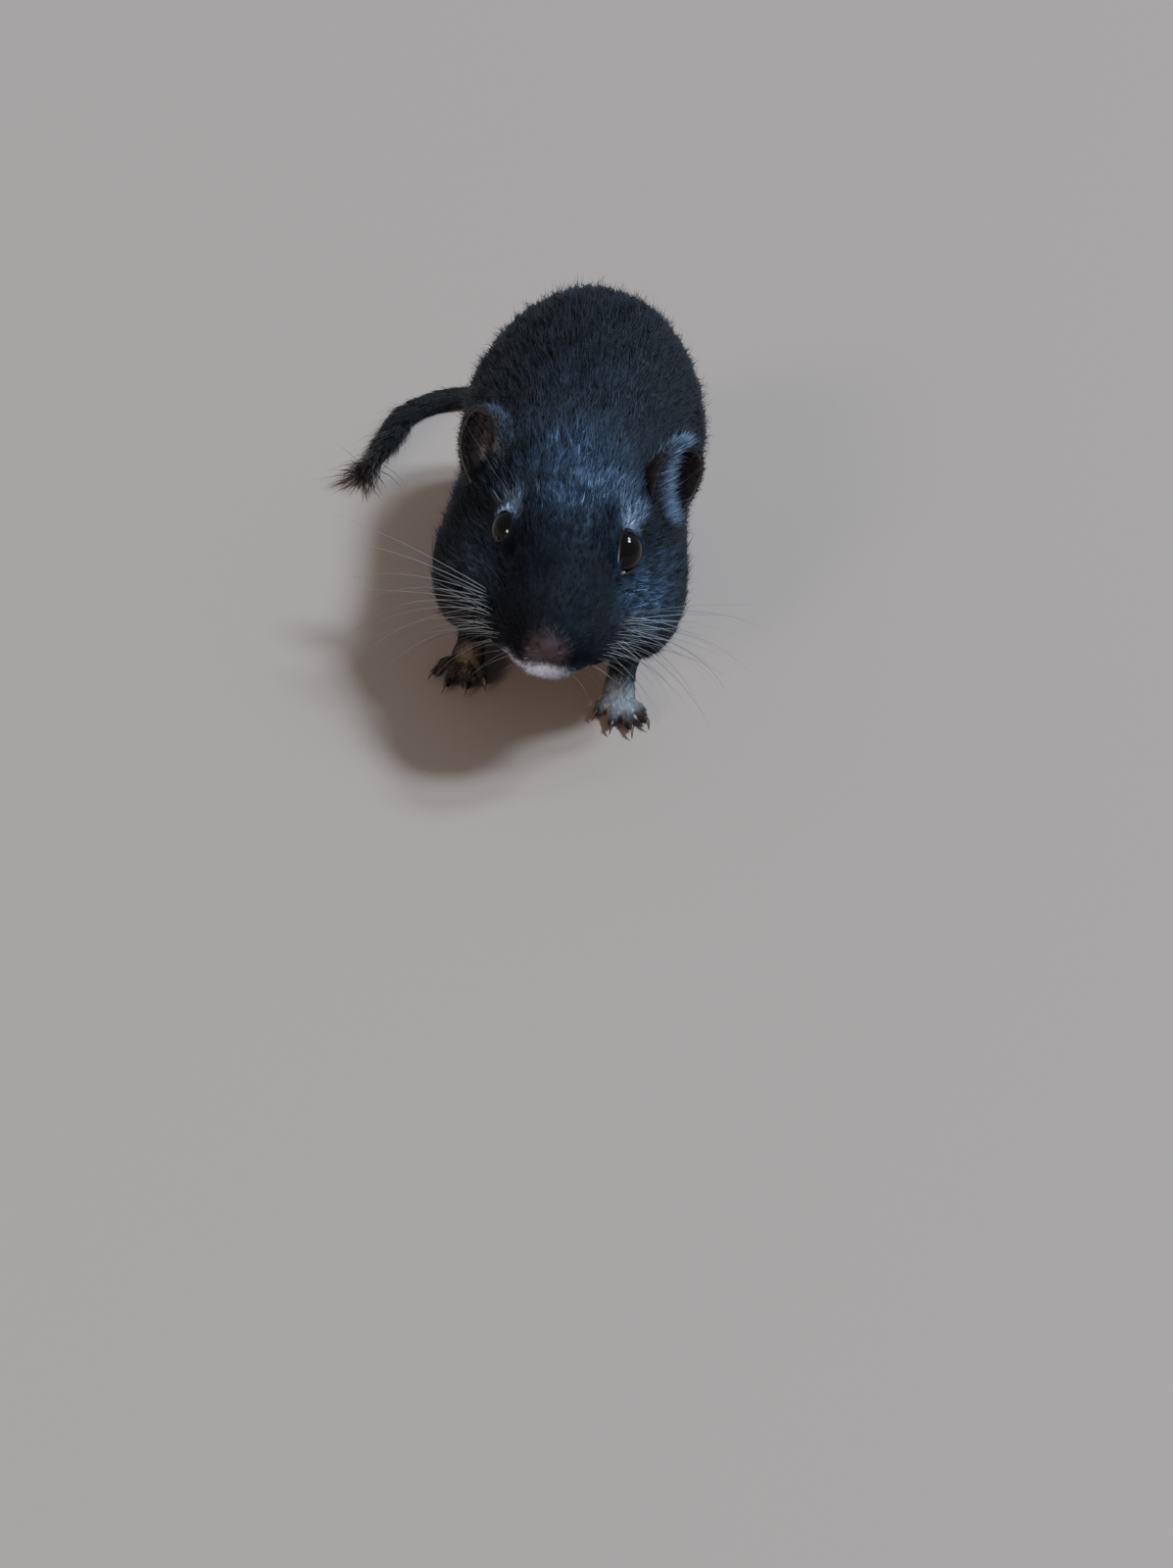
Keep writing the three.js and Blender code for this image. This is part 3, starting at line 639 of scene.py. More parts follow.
def shellOf(name):
    shell = bmesh.new()
    shell.from_mesh(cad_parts[name].data)
    bmesh.ops.remove_doubles(shell, verts=shell.verts, dist=1e-6)
    shell.normal_update()
    points = np.array([v.co for v in shell.verts])
    normals = np.array([v.normal for v in shell.verts])
    points = (points - origin) / mm
    grow = skinForm["grow"]
    if name == "head":      # the face keeps its own surface
        grow = grow * blend(points[:, 1], -40, -34)[:, None]
    faces = [tuple(v.index for v in f.verts) for f in shell.faces]
    shell.free()
    return points + normals * grow, faces


def eyeAxes(side):
    axis = unit(mirrored(eye["facing"], side))
    slant = np.array([0.0, -1.0, 0.0])
    slant = unit(slant - axis * (slant @ axis))
    slant = np.array(Matrix.Rotation(side * math.radians(eye["slant"]), 3, Vector(axis)) @ Vector(slant))
    return axis, slant, np.cross(axis, slant)


def eyeDistance(points, side):
    return np.linalg.norm(points - mirrored(eye["at"], side), axis=1)


# Half angle of the opening between the lids, by the turn round the eye from its front corner
def openingAt(turn, side):
    opening, narrowing, corner = eye["lids"][side]
    sharp = 9 if corner > 0 else 1
    return opening - narrowing * np.sin(turn) ** 2 + corner * np.maximum(0, np.cos(turn)) ** sharp


def eyeAngles(points, side):
    axis, slant, square = eyeAxes(side)
    gap = points - mirrored(eye["at"], side)
    distance = np.linalg.norm(gap, axis=1)
    out = gap @ axis
    u, v = gap @ slant, gap @ square
    angle = np.degrees(np.arctan2(np.hypot(u, v), out))
    return gap, distance, angle, openingAt(np.arctan2(v, u), side)


def skinSource():
    flesh = ["head", "neck", "torso", "hindleg_left", "hindleg_right", "tail_base"]
    parts = [shellOf(name) for name in flesh]
    for side in (1, -1):
        ahead = steps[side]
        parts.append(limb(sideRows(body["foreleg"], side, ahead), 28, 24))
        parts.append(limb(sideRows(body["palm"], side, ahead), 24, 16))
        parts.append(limb(sideRows(body["sole"], side, -ahead), 24, 20))
        for kind, forward in (("fore", ahead), ("hind", -ahead)):
            parts += [limb(bone, 14, 14) for bone, claw in toeRows(kind, side, forward)]
        parts.append(ballMesh(mirrored(eye["at"], side), eye["radius"] + 0.25))
    rows = []
    for i, (x, y, z, half) in enumerate(tailRows):      # thinner inside the brush
        half = (half + 0.1) * (1 - 0.42 * float(blend(i / tail["points"], 0.6, 1)))
        rows.append((x, y, z, half, half))
    parts.append(limb(rows, 20, 90, 0.12))
    return joined(parts)


def evaluated(piece):
    graph = bpy.context.evaluated_depsgraph_get()
    return bpy.data.meshes.new_from_object(piece.evaluated_get(graph))


def meshArrays(mesh):
    points = np.zeros(len(mesh.vertices) * 3, np.float32)
    normals = np.zeros(len(mesh.vertices) * 3, np.float32)
    mesh.vertices.foreach_get("co", points)
    mesh.vertex_normals.foreach_get("vector", normals)
    points = (points.reshape(-1, 3).astype(float) - origin) / mm
    return points, normals.reshape(-1, 3).astype(float)


# Points drawn towards the middle of their neighbours, each by its own share, a few times over
def relax(points, edges, share, rounds):
    count = len(points)
    degree = np.bincount(edges.ravel(), minlength=count)[:, None]
    for turn in range(rounds):
        total = [np.bincount(edges[:, 0], points[edges[:, 1], k], count)
                 + np.bincount(edges[:, 1], points[edges[:, 0], k], count) for k in range(3)]
        points = points + (np.stack(total, axis=1) / degree - points) * share[:, None]
    return points


def setPoints(mesh, points):
    mesh.vertices.foreach_set("co", (points * mm + origin).astype(np.float32).ravel())
    mesh.update()


def skinMesh():
    points, faces = skinSource()
    rough = bpy.data.objects.new("rough", newMesh("rough", points, faces))
    bpy.context.scene.collection.objects.link(rough)
    remesh = rough.modifiers.new("voxels", "REMESH")
    remesh.mode = "VOXEL"
    remesh.voxel_size = skinForm["voxel"] * mm
    mesh = evaluated(rough)
    bpy.data.objects.remove(rough)
    print("skin remeshed:", len(mesh.vertices), "points")

    points, normals = meshArrays(mesh)
    edges = np.zeros(len(mesh.edges) * 2, np.int32)
    mesh.edges.foreach_get("vertices", edges)
    edges = edges.reshape(-1, 2)
    x, y, z = points.T
    face = blend(-y, 36, 50)
    low = blend(-z, -9, -5)
    rounds = (1 - face) * (1 - low)
    eyes = np.zeros(len(points))
    for side in (1, -1):
        eyes = np.maximum(eyes, 1 - blend(eyeDistance(points, side), 4.2, 7.0))
    rounds = rounds * (1 - eyes)
    points = relax(points, edges, 0.9 * rounds, skinForm["bodyRounds"])
    face = 0.35 + 0.65 * blend(y, -56, -50)
    points = relax(points, edges, 0.85 * (1 - eyes) * (1 - 0.92 * low) * face, 12)
    points = relax(points, edges, np.full(len(points), 0.5), 3)
    setPoints(mesh, points)

    points, normals = meshArrays(mesh)
    lie, size, owner, spot = coatAt(points, normals)
    depth = size[:, 3]
    points = points - normals * depth[:, None]
    points = relax(points, edges, np.full(len(points), 0.4), 2)
    for side in (1, -1):
        gap, distance, angle, opening = eyeAngles(points, side)
        radius = eye["radius"]
        inside = (angle < opening + 3) & (distance < radius + 2.5)
        beside = (angle >= opening + 3) & (angle < 125)
        away = unit(gap)
        centre = mirrored(eye["at"], side)
        points[inside] = centre + away[inside] * (radius - 0.35)
        lift = radius + 0.22
        low = beside & (distance < lift)
        points[low] = centre + away[low] * lift
    points[:, 2] = np.maximum(points[:, 2], 0.08)
    setPoints(mesh, points)

    dense = bpy.data.objects.new("dense", mesh)
    bpy.context.scene.collection.objects.link(dense)
    thin = dense.modifiers.new("thin", "DECIMATE")
    thin.ratio = min(1.0, skinForm["triangles"] / (2 * len(mesh.polygons)))
    thin.use_collapse_triangulate = True
    made = evaluated(dense)
    bpy.data.objects.remove(dense)
    return made


fleshNodes = ["head", "neck", "torso", "tail_base", "tail_middle", "tail_brush"]
fleshNodes += [part + side for part in ("foreleg_", "forefoot_", "hindleg_", "hindfoot_")
               for side in ("left", "right")]

# painted shade: the skin under the coat is darkened all over, root shade and tip light both 0.6, for the
# shade between the tufts
skinValues = {"roughness": 0.7, "specular": 0.15, "sheen": 0.0, "rootShade": 0.6, "tipLight": 0.6,
              "mottleScale": 500.0, "bump": 0.5, "grainScale": 2600.0}
skinMaterial = coatMaterial("skinUnderCoat", skinValues)
skin = newPiece("skin", skinMesh(), skinMaterial)
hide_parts(*fleshNodes)
skinPoints, skinNormals = meshArrays(skin.data)
colourAttribute(skin.data, "marking", markingAt(skinPoints))
floatAttribute(skin.data, "tone", 0.5 + 0.25 * drift(skinPoints, 3.0, 8))
floatAttribute(skin.data, "along", np.full(len(skinPoints), 0.5))
print("skin done:", len(skin.data.polygons), "triangles")


tuft = {
    "seed": 11,
    "pieceLimit": 19000,
    "shortest": 2.4,          # tufts under this length are plain tapers
    "guards": 0.06,           # share of longer hairs that stand off a little
    "perLock": 11,            # neighbours that lean together
    "gather": 0.55,
    "jitter": 0.07, "lockJitter": 0.13,
    # pieces along the trunk and where each begins
    "regions": {"muzzle": -70, "face": -51, "crown": -41, "nape": -30, "shoulder": -17, "flank": 2,
                "hip": 20, "rump": 36},
}
coatValues = {"roughness": 0.52, "specular": 0.38, "sheen": 0.02, "rootShade": 0.5, "tipLight": 1.35,
              "mottleScale": 260.0}
blackCoat = coatMaterial("blackCoat", coatValues)
faceCoat = coatMaterial("faceCoat", {**coatValues, "roughness": 0.7, "specular": 0.10, "sheen": 0.01})

bentFaces = np.array([(0, 2, 1), (0, 1, 4), (0, 4, 3), (1, 2, 5), (1, 5, 4), (2, 0, 3), (2, 3, 5),
                      (3, 4, 6), (4, 5, 6), (5, 3, 6)])
plainFaces = np.array([(0, 2, 1), (0, 1, 3), (1, 2, 3), (2, 0, 3)])


# One joined mesh of tufts. Each is a closed taper with three sides, bent once if it is long.
def tuftMesh(name, tufts, bent):
    root, normal, lie = tufts["root"], tufts["normal"], tufts["lie"]
    length, width, lift, sway = (tufts[k][:, None] for k in ("length", "width", "lift", "sway"))
    count = len(root)
    side = np.cross(lie, normal)
    base = root - normal * np.minimum(0.25, 0.12 * length)
    first = np.cos(lift) * lie + np.sin(lift) * normal
    later = lift - tufts["bend"][:, None]
    second = np.cos(later) * unit(lie + side * sway) + np.sin(later) * normal
    over = unit(np.cross(side, first))
    half, thick = width / 2, width * 0.55
    if bent:
        middle = base + first * length * 0.5
        tip = middle + second * length * 0.5
        points = np.stack([base + side * half, base - side * half, base + over * thick,
                           middle + side * half * 0.86, middle - side * half * 0.86,
                           middle + over * thick * 0.86, tip], axis=1)
        along, faces = np.array([0, 0, 0, 0.5, 0.5, 0.5, 1.0]), bentFaces
    else:
        tip = base + unit(first + second) * length
        points = np.stack([base + side * half, base - side * half, base + over * thick, tip], axis=1)
        along, faces = np.array([0.15, 0.15, 0.15, 1.0]), plainFaces
    per = points.shape[1]
    points[:, :, 2] = np.maximum(points[:, :, 2], 0.06)
    triangles = (faces[None] + per * np.arange(count)[:, None, None]).reshape(-1, 3)
    mesh = arrayMesh(name, points.reshape(-1, 3), triangles)
    colourAttribute(mesh, "marking", np.repeat(tufts["marking"], per, axis=0))
    floatAttribute(mesh, "tone", np.repeat(tufts["tone"], per))
    floatAttribute(mesh, "along", np.tile(along, count))
    spot = tufts["spot"]
    low, high = spot.min(axis=0), spot.max(axis=0)
    spot = 0.004 + 0.992 * (spot - low) / np.maximum(high - low, 1e-6)
    across = np.array([-0.5, 0.5, 0, -0.5, 0.5, 0, 0]) if per == 7 else np.array([-0.5, 0.5, 0, 0])
    patch = np.stack([across, along - 0.5], axis=1) * 0.003
    uv = (spot[:, None, :] + patch[None]).reshape(-1, 2)
    layer = mesh.uv_layers.new(name="OFBake")
    layer.data.foreach_set("uv", uv[triangles.ravel()].astype(np.float32).ravel())
    return mesh


# Tufts on a square millimetre: fewer underneath, more round the eyes
def densityAt(count, centres, corners):
    under = blend(-skinNormals[corners].mean(axis=1)[:, 2], 0.35, 0.85)
    density = count[corners].mean(axis=1) * (1 - 0.45 * under)
    for side in (1, -1):
        density = density * (1 + 0.5 * (1 - blend(eyeDistance(centres, side), 4.2, 6.0)))
    return density


def sampleSkin(mesh, count, random):
    mesh.calc_loop_triangles()
    corners = np.zeros(len(mesh.loop_triangles) * 3, np.int32)
    mesh.loop_triangles.foreach_get("vertices", corners)
    corners = corners.reshape(-1, 3)
    a, b, c = (skinPoints[corners[:, k]] for k in range(3))
    area = np.linalg.norm(np.cross(b - a, c - a), axis=1) / 2
    wanted = area * densityAt(count, (a + b + c) / 3, corners)
    number = np.floor(wanted + random.random(len(wanted))).astype(int)
    chosen = np.repeat(np.arange(len(corners)), number)
    u, v = random.random(len(chosen)), random.random(len(chosen))
    over = u + v > 1
    u[over], v[over] = 1 - u[over], 1 - v[over]
    corner = corners[chosen]

    def mixed(values):
        return (values[corner[:, 0]] * u[:, None] + values[corner[:, 1]] * v[:, None]
                + values[corner[:, 2]] * (1 - u - v)[:, None])

    return mixed(skinPoints), unit(mixed(skinNormals))


# False where nothing grows: the soles, the open eye, the nostrils and the nose pad
def keepClear(points):
    keep = points[:, 2] > 0.35
    for side in (1, -1):
        gap, distance, angle, opening = eyeAngles(points, side)
        keep &= ~((angle < opening + 2.0) & (distance < eye["radius"] + 2))
        gap = (points - mirrored(body["nostril"], side)) / (0.8, 1.3, 0.9)
        keep &= np.linalg.norm(gap, axis=1) > 1
    pad = (points - body["nose"]) / (1.5, 1.0, 1.2)
    keep &= np.linalg.norm(pad, axis=1) > 1
    return keep


# The lock that each tuft leans into: which one, and where its middle is
def lockOf(points, random):
    heads = random.choice(len(points), len(points) // tuft["perLock"], replace=False)
    tree = KDTree(len(heads))
    for i, head in enumerate(heads):
        tree.insert(points[head], i)
    tree.balance()
    nearest = np.array([tree.find(point)[1] for point in points])
    return nearest, points[heads[nearest]], len(heads)


# The lift of each tuft, more where it would run into the skin, as in a fold
def clearOfSkin(points, normals, lie, length, lift):
    tree = KDTree(len(skinPoints))
    for i, point in enumerate(skinPoints):
        tree.insert(point, i)
    tree.balance()
    way = np.cos(lift)[:, None] * lie + np.sin(lift)[:, None] * normals
    more = np.zeros(len(points))
    for share in (0.5, 0.9):
        places = points + way * (length * share)[:, None]
        nearest = np.array([tree.find(place)[1] for place in places])
        height = np.sum((places - skinPoints[nearest]) * skinNormals[nearest], axis=1)
        short = np.maximum(0, 0.12 + 0.10 * length * share - height)
        more = np.maximum(more, np.arctan2(short, length * share))
    return lift + np.minimum(more * 1.15, math.radians(38))


def hairColours(points, spread, random):
    tone = 0.5 + spread(0.16, 0.14) + 0.12 * drift(points, 5.0, 31)
    bright = np.exp(spread(0.35, 0.25))
    marking = markingAt(points + random.normal(size=points.shape) * 0.3)
    pale = blend(marking.max(axis=1), 0.3, 0.45)
    # per-tuft streaks of brightness: painted highlight streaks where the painted sheen and brow
    # highlight make the colour blue, and streaky pale hair on the feet
    blue = blend(marking[:, 2] - marking[:, 0], 0.02, 0.06) * (1 - pale)
    streak = np.maximum(blue, pale * (points[:, 2] < 8) * (points[:, 1] > -50))
    bright = bright * np.exp(streak * (random.normal(size=len(points)) * 0.5 - 0.1))
    return np.clip(tone, 0, 1), marking * (bright ** (1 - 0.6 * pale))[:, None]


# The tufts: where each is rooted, which way it lies, its size and its colour
def tuftRoots(random):
    lie, size, owner, spot = coatAt(skinPoints, skinNormals)
    points, normals = sampleSkin(skin.data, size[:, 4], random)
    keep = keepClear(points)
    points, normals = points[keep], normals[keep]
    n = len(points)
    lie, size, owner, spot = coatAt(points, normals)
    onTail = owner == tailOwner
    limbs = (owner > 0) & ~onTail
    length = size[:, 0] * random.uniform(0.72, 1.15, n)
    length = np.where(limbs, length * (0.66 + 0.34 * blend(points[:, 2], 1.5, 6.0)), length)
    for side in (1, -1):      # short where it meets the lids
        length = length * (0.45 + 0.55 * blend(eyeDistance(points, side), 3.7, 5.4))
    lock, middle, locks = lockOf(points, random)

    def spread(byLock, byTuft):
        return (random.normal(size=locks) * byLock)[lock] + random.normal(size=n) * byTuft

    lean = random.normal(size=(locks, 3)) * tuft["lockJitter"]
    wander = np.stack([drift(points, 9.0, 20 + k) for k in range(3)], axis=1) * 0.14
    alongTail = np.where(onTail, spot[:, 1], 0)
    brush = blend(alongTail, 0.54, 0.74)
    stray = wander + lean[lock] + random.normal(size=(n, 3)) * tuft["jitter"]
    lie = lie + stray * (1 - 0.55 * brush)[:, None]
    lie = lie + (middle - points) * (tuft["gather"] / length)[:, None]
    lie = unit(lie - normals * np.sum(lie * normals, axis=1, keepdims=True))
    lift = np.radians(size[:, 2] + spread(3.0, 2.0))
    guard = random.random(n) < tuft["guards"]
    length = np.where(guard, length * 1.25, length) * (1 + 2.1 * brush)
    lift = np.where(guard, lift + math.radians(10), lift)
    lift = lift + brush * math.radians(4) * (1 - 2.6 * blend(alongTail, 0.8, 0.97))
    tone, marking = hairColours(points, spread, random)
    width = size[:, 1] * random.uniform(0.75, 1.25, n) * np.where(guard, 0.7, 1)
    return {
        "root": points, "normal": normals, "lie": lie, "length": length,
        "width": width * (1 + 0.25 * brush),
        "lift": clearOfSkin(points, normals, lie, length, lift),
        "bend": np.radians(9) + np.radians(9) * random.random(n) + np.radians(5) * brush,
        "sway": random.normal(size=n) * 0.13,
        "marking": marking, "tone": tone, "spot": spot,
    }, owner


# The piece that each tuft belongs to, with a ragged border between one and the next
def regionsOf(points, owner, random):
    regions = np.full(len(points), "back", dtype=object)
    for name, start in tuft["regions"].items():
        ragged = points[:, 1] + random.normal(size=len(points))
        regions[(owner == 0) & (ragged >= start)] = name
    regions[(owner > 0) & (points[:, 1] < 0)] = "forelimb"
    regions[(owner > 0) & (points[:, 1] >= 0)] = "hindlimb"
    regions[owner == tailOwner] = "tail"
    return regions


def growCoat():
    random = np.random.default_rng(tuft["seed"])
    roots, owner = tuftRoots(random)
    points, length = roots["root"], roots["length"]
    regions = regionsOf(points, owner, random)
    total = 0
    for name in sorted(set(regions)):
        for bent in (True, False):
            chosen = np.flatnonzero((regions == name) & ((length > tuft["shortest"]) == bent))
            if not len(chosen):
                continue
            limit = tuft["pieceLimit"] * (1 if bent else 2.4)
            shares = int(math.ceil(len(chosen) / limit))
            order = chosen[np.argsort(points[chosen, 0])]
            for k, part in enumerate(np.array_split(order, shares)):
                label = f"coat_{name}_{'long' if bent else 'short'}_{k + 1}"
                mesh = tuftMesh(label, {key: value[part] for key, value in roots.items()}, bent)
                newPiece(label, mesh, faceCoat if name in ("muzzle", "face") else blackCoat)
                total += len(mesh.polygons)
                print(label, len(part), "tufts")
    print("coat done:", len(points), "tufts,", total, "triangles")


growCoat()


eyeMaterial, nodes, links, shader = newMaterial("eyeGloss", 0.03, 0.28)
noise = nodes.new("ShaderNodeTexNoise")
noise.inputs["Scale"].default_value = 900.0
tint = nodes.new("ShaderNodeValToRGB")
tint.color_ramp.elements[0].color = (0.0016, 0.0012, 0.0012, 1)
tint.color_ramp.elements[1].color = (0.0075, 0.0042, 0.0032, 1)
links.new(noise.outputs["Fac"], tint.inputs["Fac"])
links.new(tint.outputs["Color"], shader.inputs["Base Color"])

lidMaterial, nodes, links, shader = newMaterial("lidRim", 0.55, 0.2)
links.new(attributeNode(nodes, "marking").outputs["Color"], shader.inputs["Base Color"])


def eyeballMesh(side):
    axis, slant, square = eyeAxes(side)
    points, faces = ballMesh((0, 0, 0), 1.0, 48, 36)
    centre = mirrored(eye["at"], side)
    bulge = 1 + 0.05 * blend(points[:, 2], 0.55, 1.0)
    places = centre + (points[:, :1] * slant + points[:, 1:2] * square + points[:, 2:] * axis) * (
        eye["radius"] * bulge)[:, None]
    return newMesh("eyeball", places, faces)


lid = {
    # each margin is a soft swelling: degrees outward from its edge and millimetres off the ball
    "profile": [(0, 0.03), (0.7, 0.10), (1.8, 0.15), (3.2, 0.14), (4.6, 0.08), (6.2, -0.06),
                (6.2, -0.35), (3.2, -0.35), (0.7, -0.2)],
    "dark": (0.004, 0.004, 0.005), "pale": (0.60, 0.50, 0.46), "sides": 96,
    "haw": {1: (0.80, 0.50), -1: (0.3, 0.2)},     # half length and half width of the pale corner
}


def lidMesh(side):
    axis, slant, square = eyeAxes(side)
    centre = mirrored(eye["at"], side)
    points, colours = [], []
    for i in range(lid["sides"]):
        turn = 2 * math.pi * i / lid["sides"]
        spoke = slant * math.cos(turn) + square * math.sin(turn)
        edge = float(openingAt(np.array([turn]), side)[0])
        corner = max(0.0, math.cos(turn)) ** 24      # pale at the front corner
        margin = max(0.0, math.cos(turn + 0.35 * side)) ** 3      # and along the lid beside it
        share = min(1.0, corner + margin) * (1.0 if side > 0 else 0.1)
        for degrees, off in lid["profile"]:
            t = math.radians(edge + degrees - 2.5 * corner * (degrees < 2))
            radius = eye["radius"] + off
            points.append(centre + axis * radius * math.cos(t) + spoke * radius * math.sin(t))
            tint = share * (1.0 if degrees < 4 else 0.4 if degrees < 6 else 0.0)
            colours.append(np.array(lid["dark"]) * (1 - tint) + np.array(lid["pale"]) * tint)
    rim, sides = len(lid["profile"]), lid["sides"]
    faces = []
    for i in range(sides):
        here, there = i * rim, ((i + 1) % sides) * rim
        faces += [(here + k, here + (k + 1) % rim, there + (k + 1) % rim, there + k) for k in range(rim)]
    long, wide = lid["haw"][side]
    t = math.radians(float(openingAt(np.array([0.0]), side)[0]) - 5.5)
    out = axis * math.cos(t) + slant * math.sin(t)
    down = slant * math.cos(t) - axis * math.sin(t)
    haw, hawFaces = ballMesh((0, 0, 0), 1.0, 20, 12)
    haw = centre + out * (eye["radius"] + 0.02) + (
        haw[:, :1] * down * long + haw[:, 1:2] * square * wide + haw[:, 2:] * out * 0.32)
    points, faces = joined([(points, faces), (haw, hawFaces)])
    colours += [np.array(lid["pale"]) * (1.0 if side > 0 else 0.15)] * len(haw)
    mesh = newMesh("lid", points, faces)
    colourAttribute(mesh, "marking", np.array(colours))
    return mesh


for side, name in ((1, "left"), (-1, "right")):
    ball = newPiece("eyeball_" + name, eyeballMesh(side), eyeMaterial)
    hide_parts("eye_" + name)
    newPiece("lid_" + name, lidMesh(side), lidMaterial)
print("eyes done")


ear = {
    "root": (13.6, -30.0, 33.4), "rise": (0.16, 0.26, 0.95), "facing": (0.66, -0.75, 0.1),
    "length": 13.5, "width": 10.8, "depth": 4.2, "wall": 0.55, "sunk": 2.4, "mouth": 8.0,
}
earMaterial = bareMaterial(
    "earSkin", (0.014, 0.011, 0.011), (0.034, 0.025, 0.024), 900.0, 0.5, 0.35)


def earAxes(side):
    rise = unit(mirrored(ear["rise"], side))
    facing = mirrored(ear["facing"], side)
    facing = unit(facing - rise * (facing @ rise))
    return np.cross(facing, rise), facing, rise


# A place on the cup: theta from its bottom to the rim, phi round it, on its outer or inner wall
def cupPoint(side, theta, phi, wall):
    across, facing, rise = earAxes(side)
    centre = mirrored(ear["root"], side) + rise * (ear["length"] / 2 - ear["sunk"])
    x, z, y = np.sin(theta) * np.cos(phi), np.sin(theta) * np.sin(phi), -np.cos(theta)
    narrow = 1 - 0.3 * ((1 - z) / 2) ** 1.6
    edge = blend(theta, 1.1, 1.65)
    roll = 0.35 * edge * np.cos(phi * 2 + 0.6) + 0.25 * edge * np.cos(phi * 3)
    px = x * narrow * (ear["width"] / 2 - wall)
    py = y * narrow * (ear["depth"] - wall) + roll * 0.5
    pz = z * (ear["length"] / 2 - wall)
    if wall > 0:      # a fold inside the cup
        fold = 0.8 * np.exp(-((px * side * -1 - 1.2) / 0.9) ** 2) * np.exp(-((pz + 2.0) / 3.2) ** 2)
        py = py + fold * (1 - edge)
    return centre + across * px[..., None] + facing * py[..., None] + rise * pz[..., None]


def earMesh(side):
    sides, rings = 64, 22
    limit = math.pi / 2 + math.radians(ear["mouth"])
    phi = 2 * math.pi * np.arange(sides) / sides
    shells = []
    for wall in (0.0, ear["wall"]):
        theta = limit * np.arange(1, rings + 1) / rings
        shells.append(cupPoint(side, theta[:, None], phi[None], wall))
    lip = (shells[0][-1] + shells[1][-1]) / 2
    across, facing, rise = earAxes(side)
    lip = lip + facing * 0.22
    outer = shells[0].reshape(-1, 3)
    inner = shells[1][::-1].reshape(-1, 3)
    poles = [cupPoint(side, np.array([0.0]), np.array([0.0]), w)[0] for w in (0.0, ear["wall"])]
    points = np.vstack([poles[0][None], outer, lip, inner, poles[1][None]])
    return newMesh("ear", points, cappedFaces(sides, rings * 2 + 1))


earFur = {
    # theta from and to, on the outer wall or not, number, length, marking, lift in degrees
    "short": [
        (0.5, 1.62, True, 3600, 1.4, (0.012, 0.012, 0.015), 13),
        (1.35, 1.68, True, 900, 1.2, (0.030, 0.036, 0.048), 22),
        (0.25, 1.5, False, 1300, 2.5, (0.060, 0.061, 0.070), 24),
    ],
    # longer grey-blue fur that rises over the inner edge from its root, thicker on the left ear, and
    # painted brighter there as painted highlight of the window light on that side
    "edge": {1: {"number": 3300, "length": 3.7, "over": 0.75, "bright": 1.3},
             -1: {"number": 1500, "length": 2.0, "over": 0.35, "bright": 0.8}},
    "edgeMarking": (0.050, 0.064, 0.094),
    "width": 0.085,
}


def earHair(side, name):
    random = np.random.default_rng(40 + side)
    across, facing, rise = earAxes(side)
    sets = []

    def patchOf(theta, phi, height):
        return np.stack([0.5 + theta / 4 * np.cos(phi), height + 0.5 + theta / 4 * np.sin(phi)], axis=1)

    for low, high, outside, number, length, colour, lift in earFur["short"]:
        theta, phi = random.uniform(low, high, number), random.uniform(0, 2 * math.pi, number)
        wall = 0.0 if outside else ear["wall"]
        at = cupPoint(side, theta, phi, wall)
        du = cupPoint(side, theta + 0.02, phi, wall) - at
        dv = cupPoint(side, theta, phi + 0.02, wall) - at
        normal = unit(np.cross(du, dv))
        centre = mirrored(ear["root"], side) + rise * (ear["length"] / 2 - ear["sunk"]) + facing * 0.5
        outward = np.sign(np.sum(normal * (at - centre), axis=1, keepdims=True))
        normal = normal * outward * (1 if outside else -1)
        lie = unit(du) * (1.0 if outside else 0.6) + rise * 0.7 + random.normal(size=at.shape) * 0.12
        lie = unit(lie - normal * np.sum(lie * normal, axis=1, keepdims=True))
        sets.append({
            "root": at, "normal": normal, "lie": lie,
            "length": length * random.uniform(0.6, 1.2, number),
            "width": earFur["width"] * random.uniform(0.8, 1.2, number),
            "lift": np.radians(lift + random.normal(size=number) * 5),
            "bend": np.radians(np.full(number, 12.0)),
            "sway": random.normal(size=number) * 0.2,
            "marking": np.tile(colour, (number, 1)) * random.uniform(0.6, 1.6, (number, 1)),
            "tone": random.random(number),
            "spot": patchOf(theta, phi, 0 if outside else 2),
        })
    edge = earFur["edge"][side]
    number = edge["number"]
    theta, phi = random.uniform(0.9, 1.74, number), random.uniform(-1.45, 1.25, number)
    phi = phi if side > 0 else math.pi - phi
    at = cupPoint(side, theta, phi, 0.0)
    inward = -across * np.sign(across[0]) * side
    normal = unit(facing * 0.85 + inward * 0.5)
    lie = unit(rise * 0.75 - inward * edge["over"] + facing * 0.12
               + random.normal(size=at.shape) * 0.2)
    low = blend(ear["length"] * 0.35 - (at - mirrored(ear["root"], side)) @ rise, -4.0, 4.0)
    sets.append({
        "root": at - rise * 0.5, "normal": np.tile(normal, (number, 1)), "lie": lie,
        "length": (edge["length"] + 2.0 * low) * random.uniform(0.7, 1.2, number),
        "width": earFur["width"] * random.uniform(0.8, 1.2, number),
        "lift": np.radians(15 + random.normal(size=number) * 8),
        "bend": np.radians(np.full(number, 20.0)),
        "sway": random.normal(size=number) * 0.2,
        "marking": (np.tile(earFur["edgeMarking"], (number, 1)) * edge["bright"]
                    * np.exp(random.normal(size=(number, 1)) * 0.6)),
        "tone": random.random(number),
        "spot": patchOf(theta, phi, 4),
    })
    both = {key: np.concatenate([s[key] for s in sets]) for key in sets[0]}
    label = "earHair_" + name
    return newPiece(label, tuftMesh(label, both, True), blackCoat)


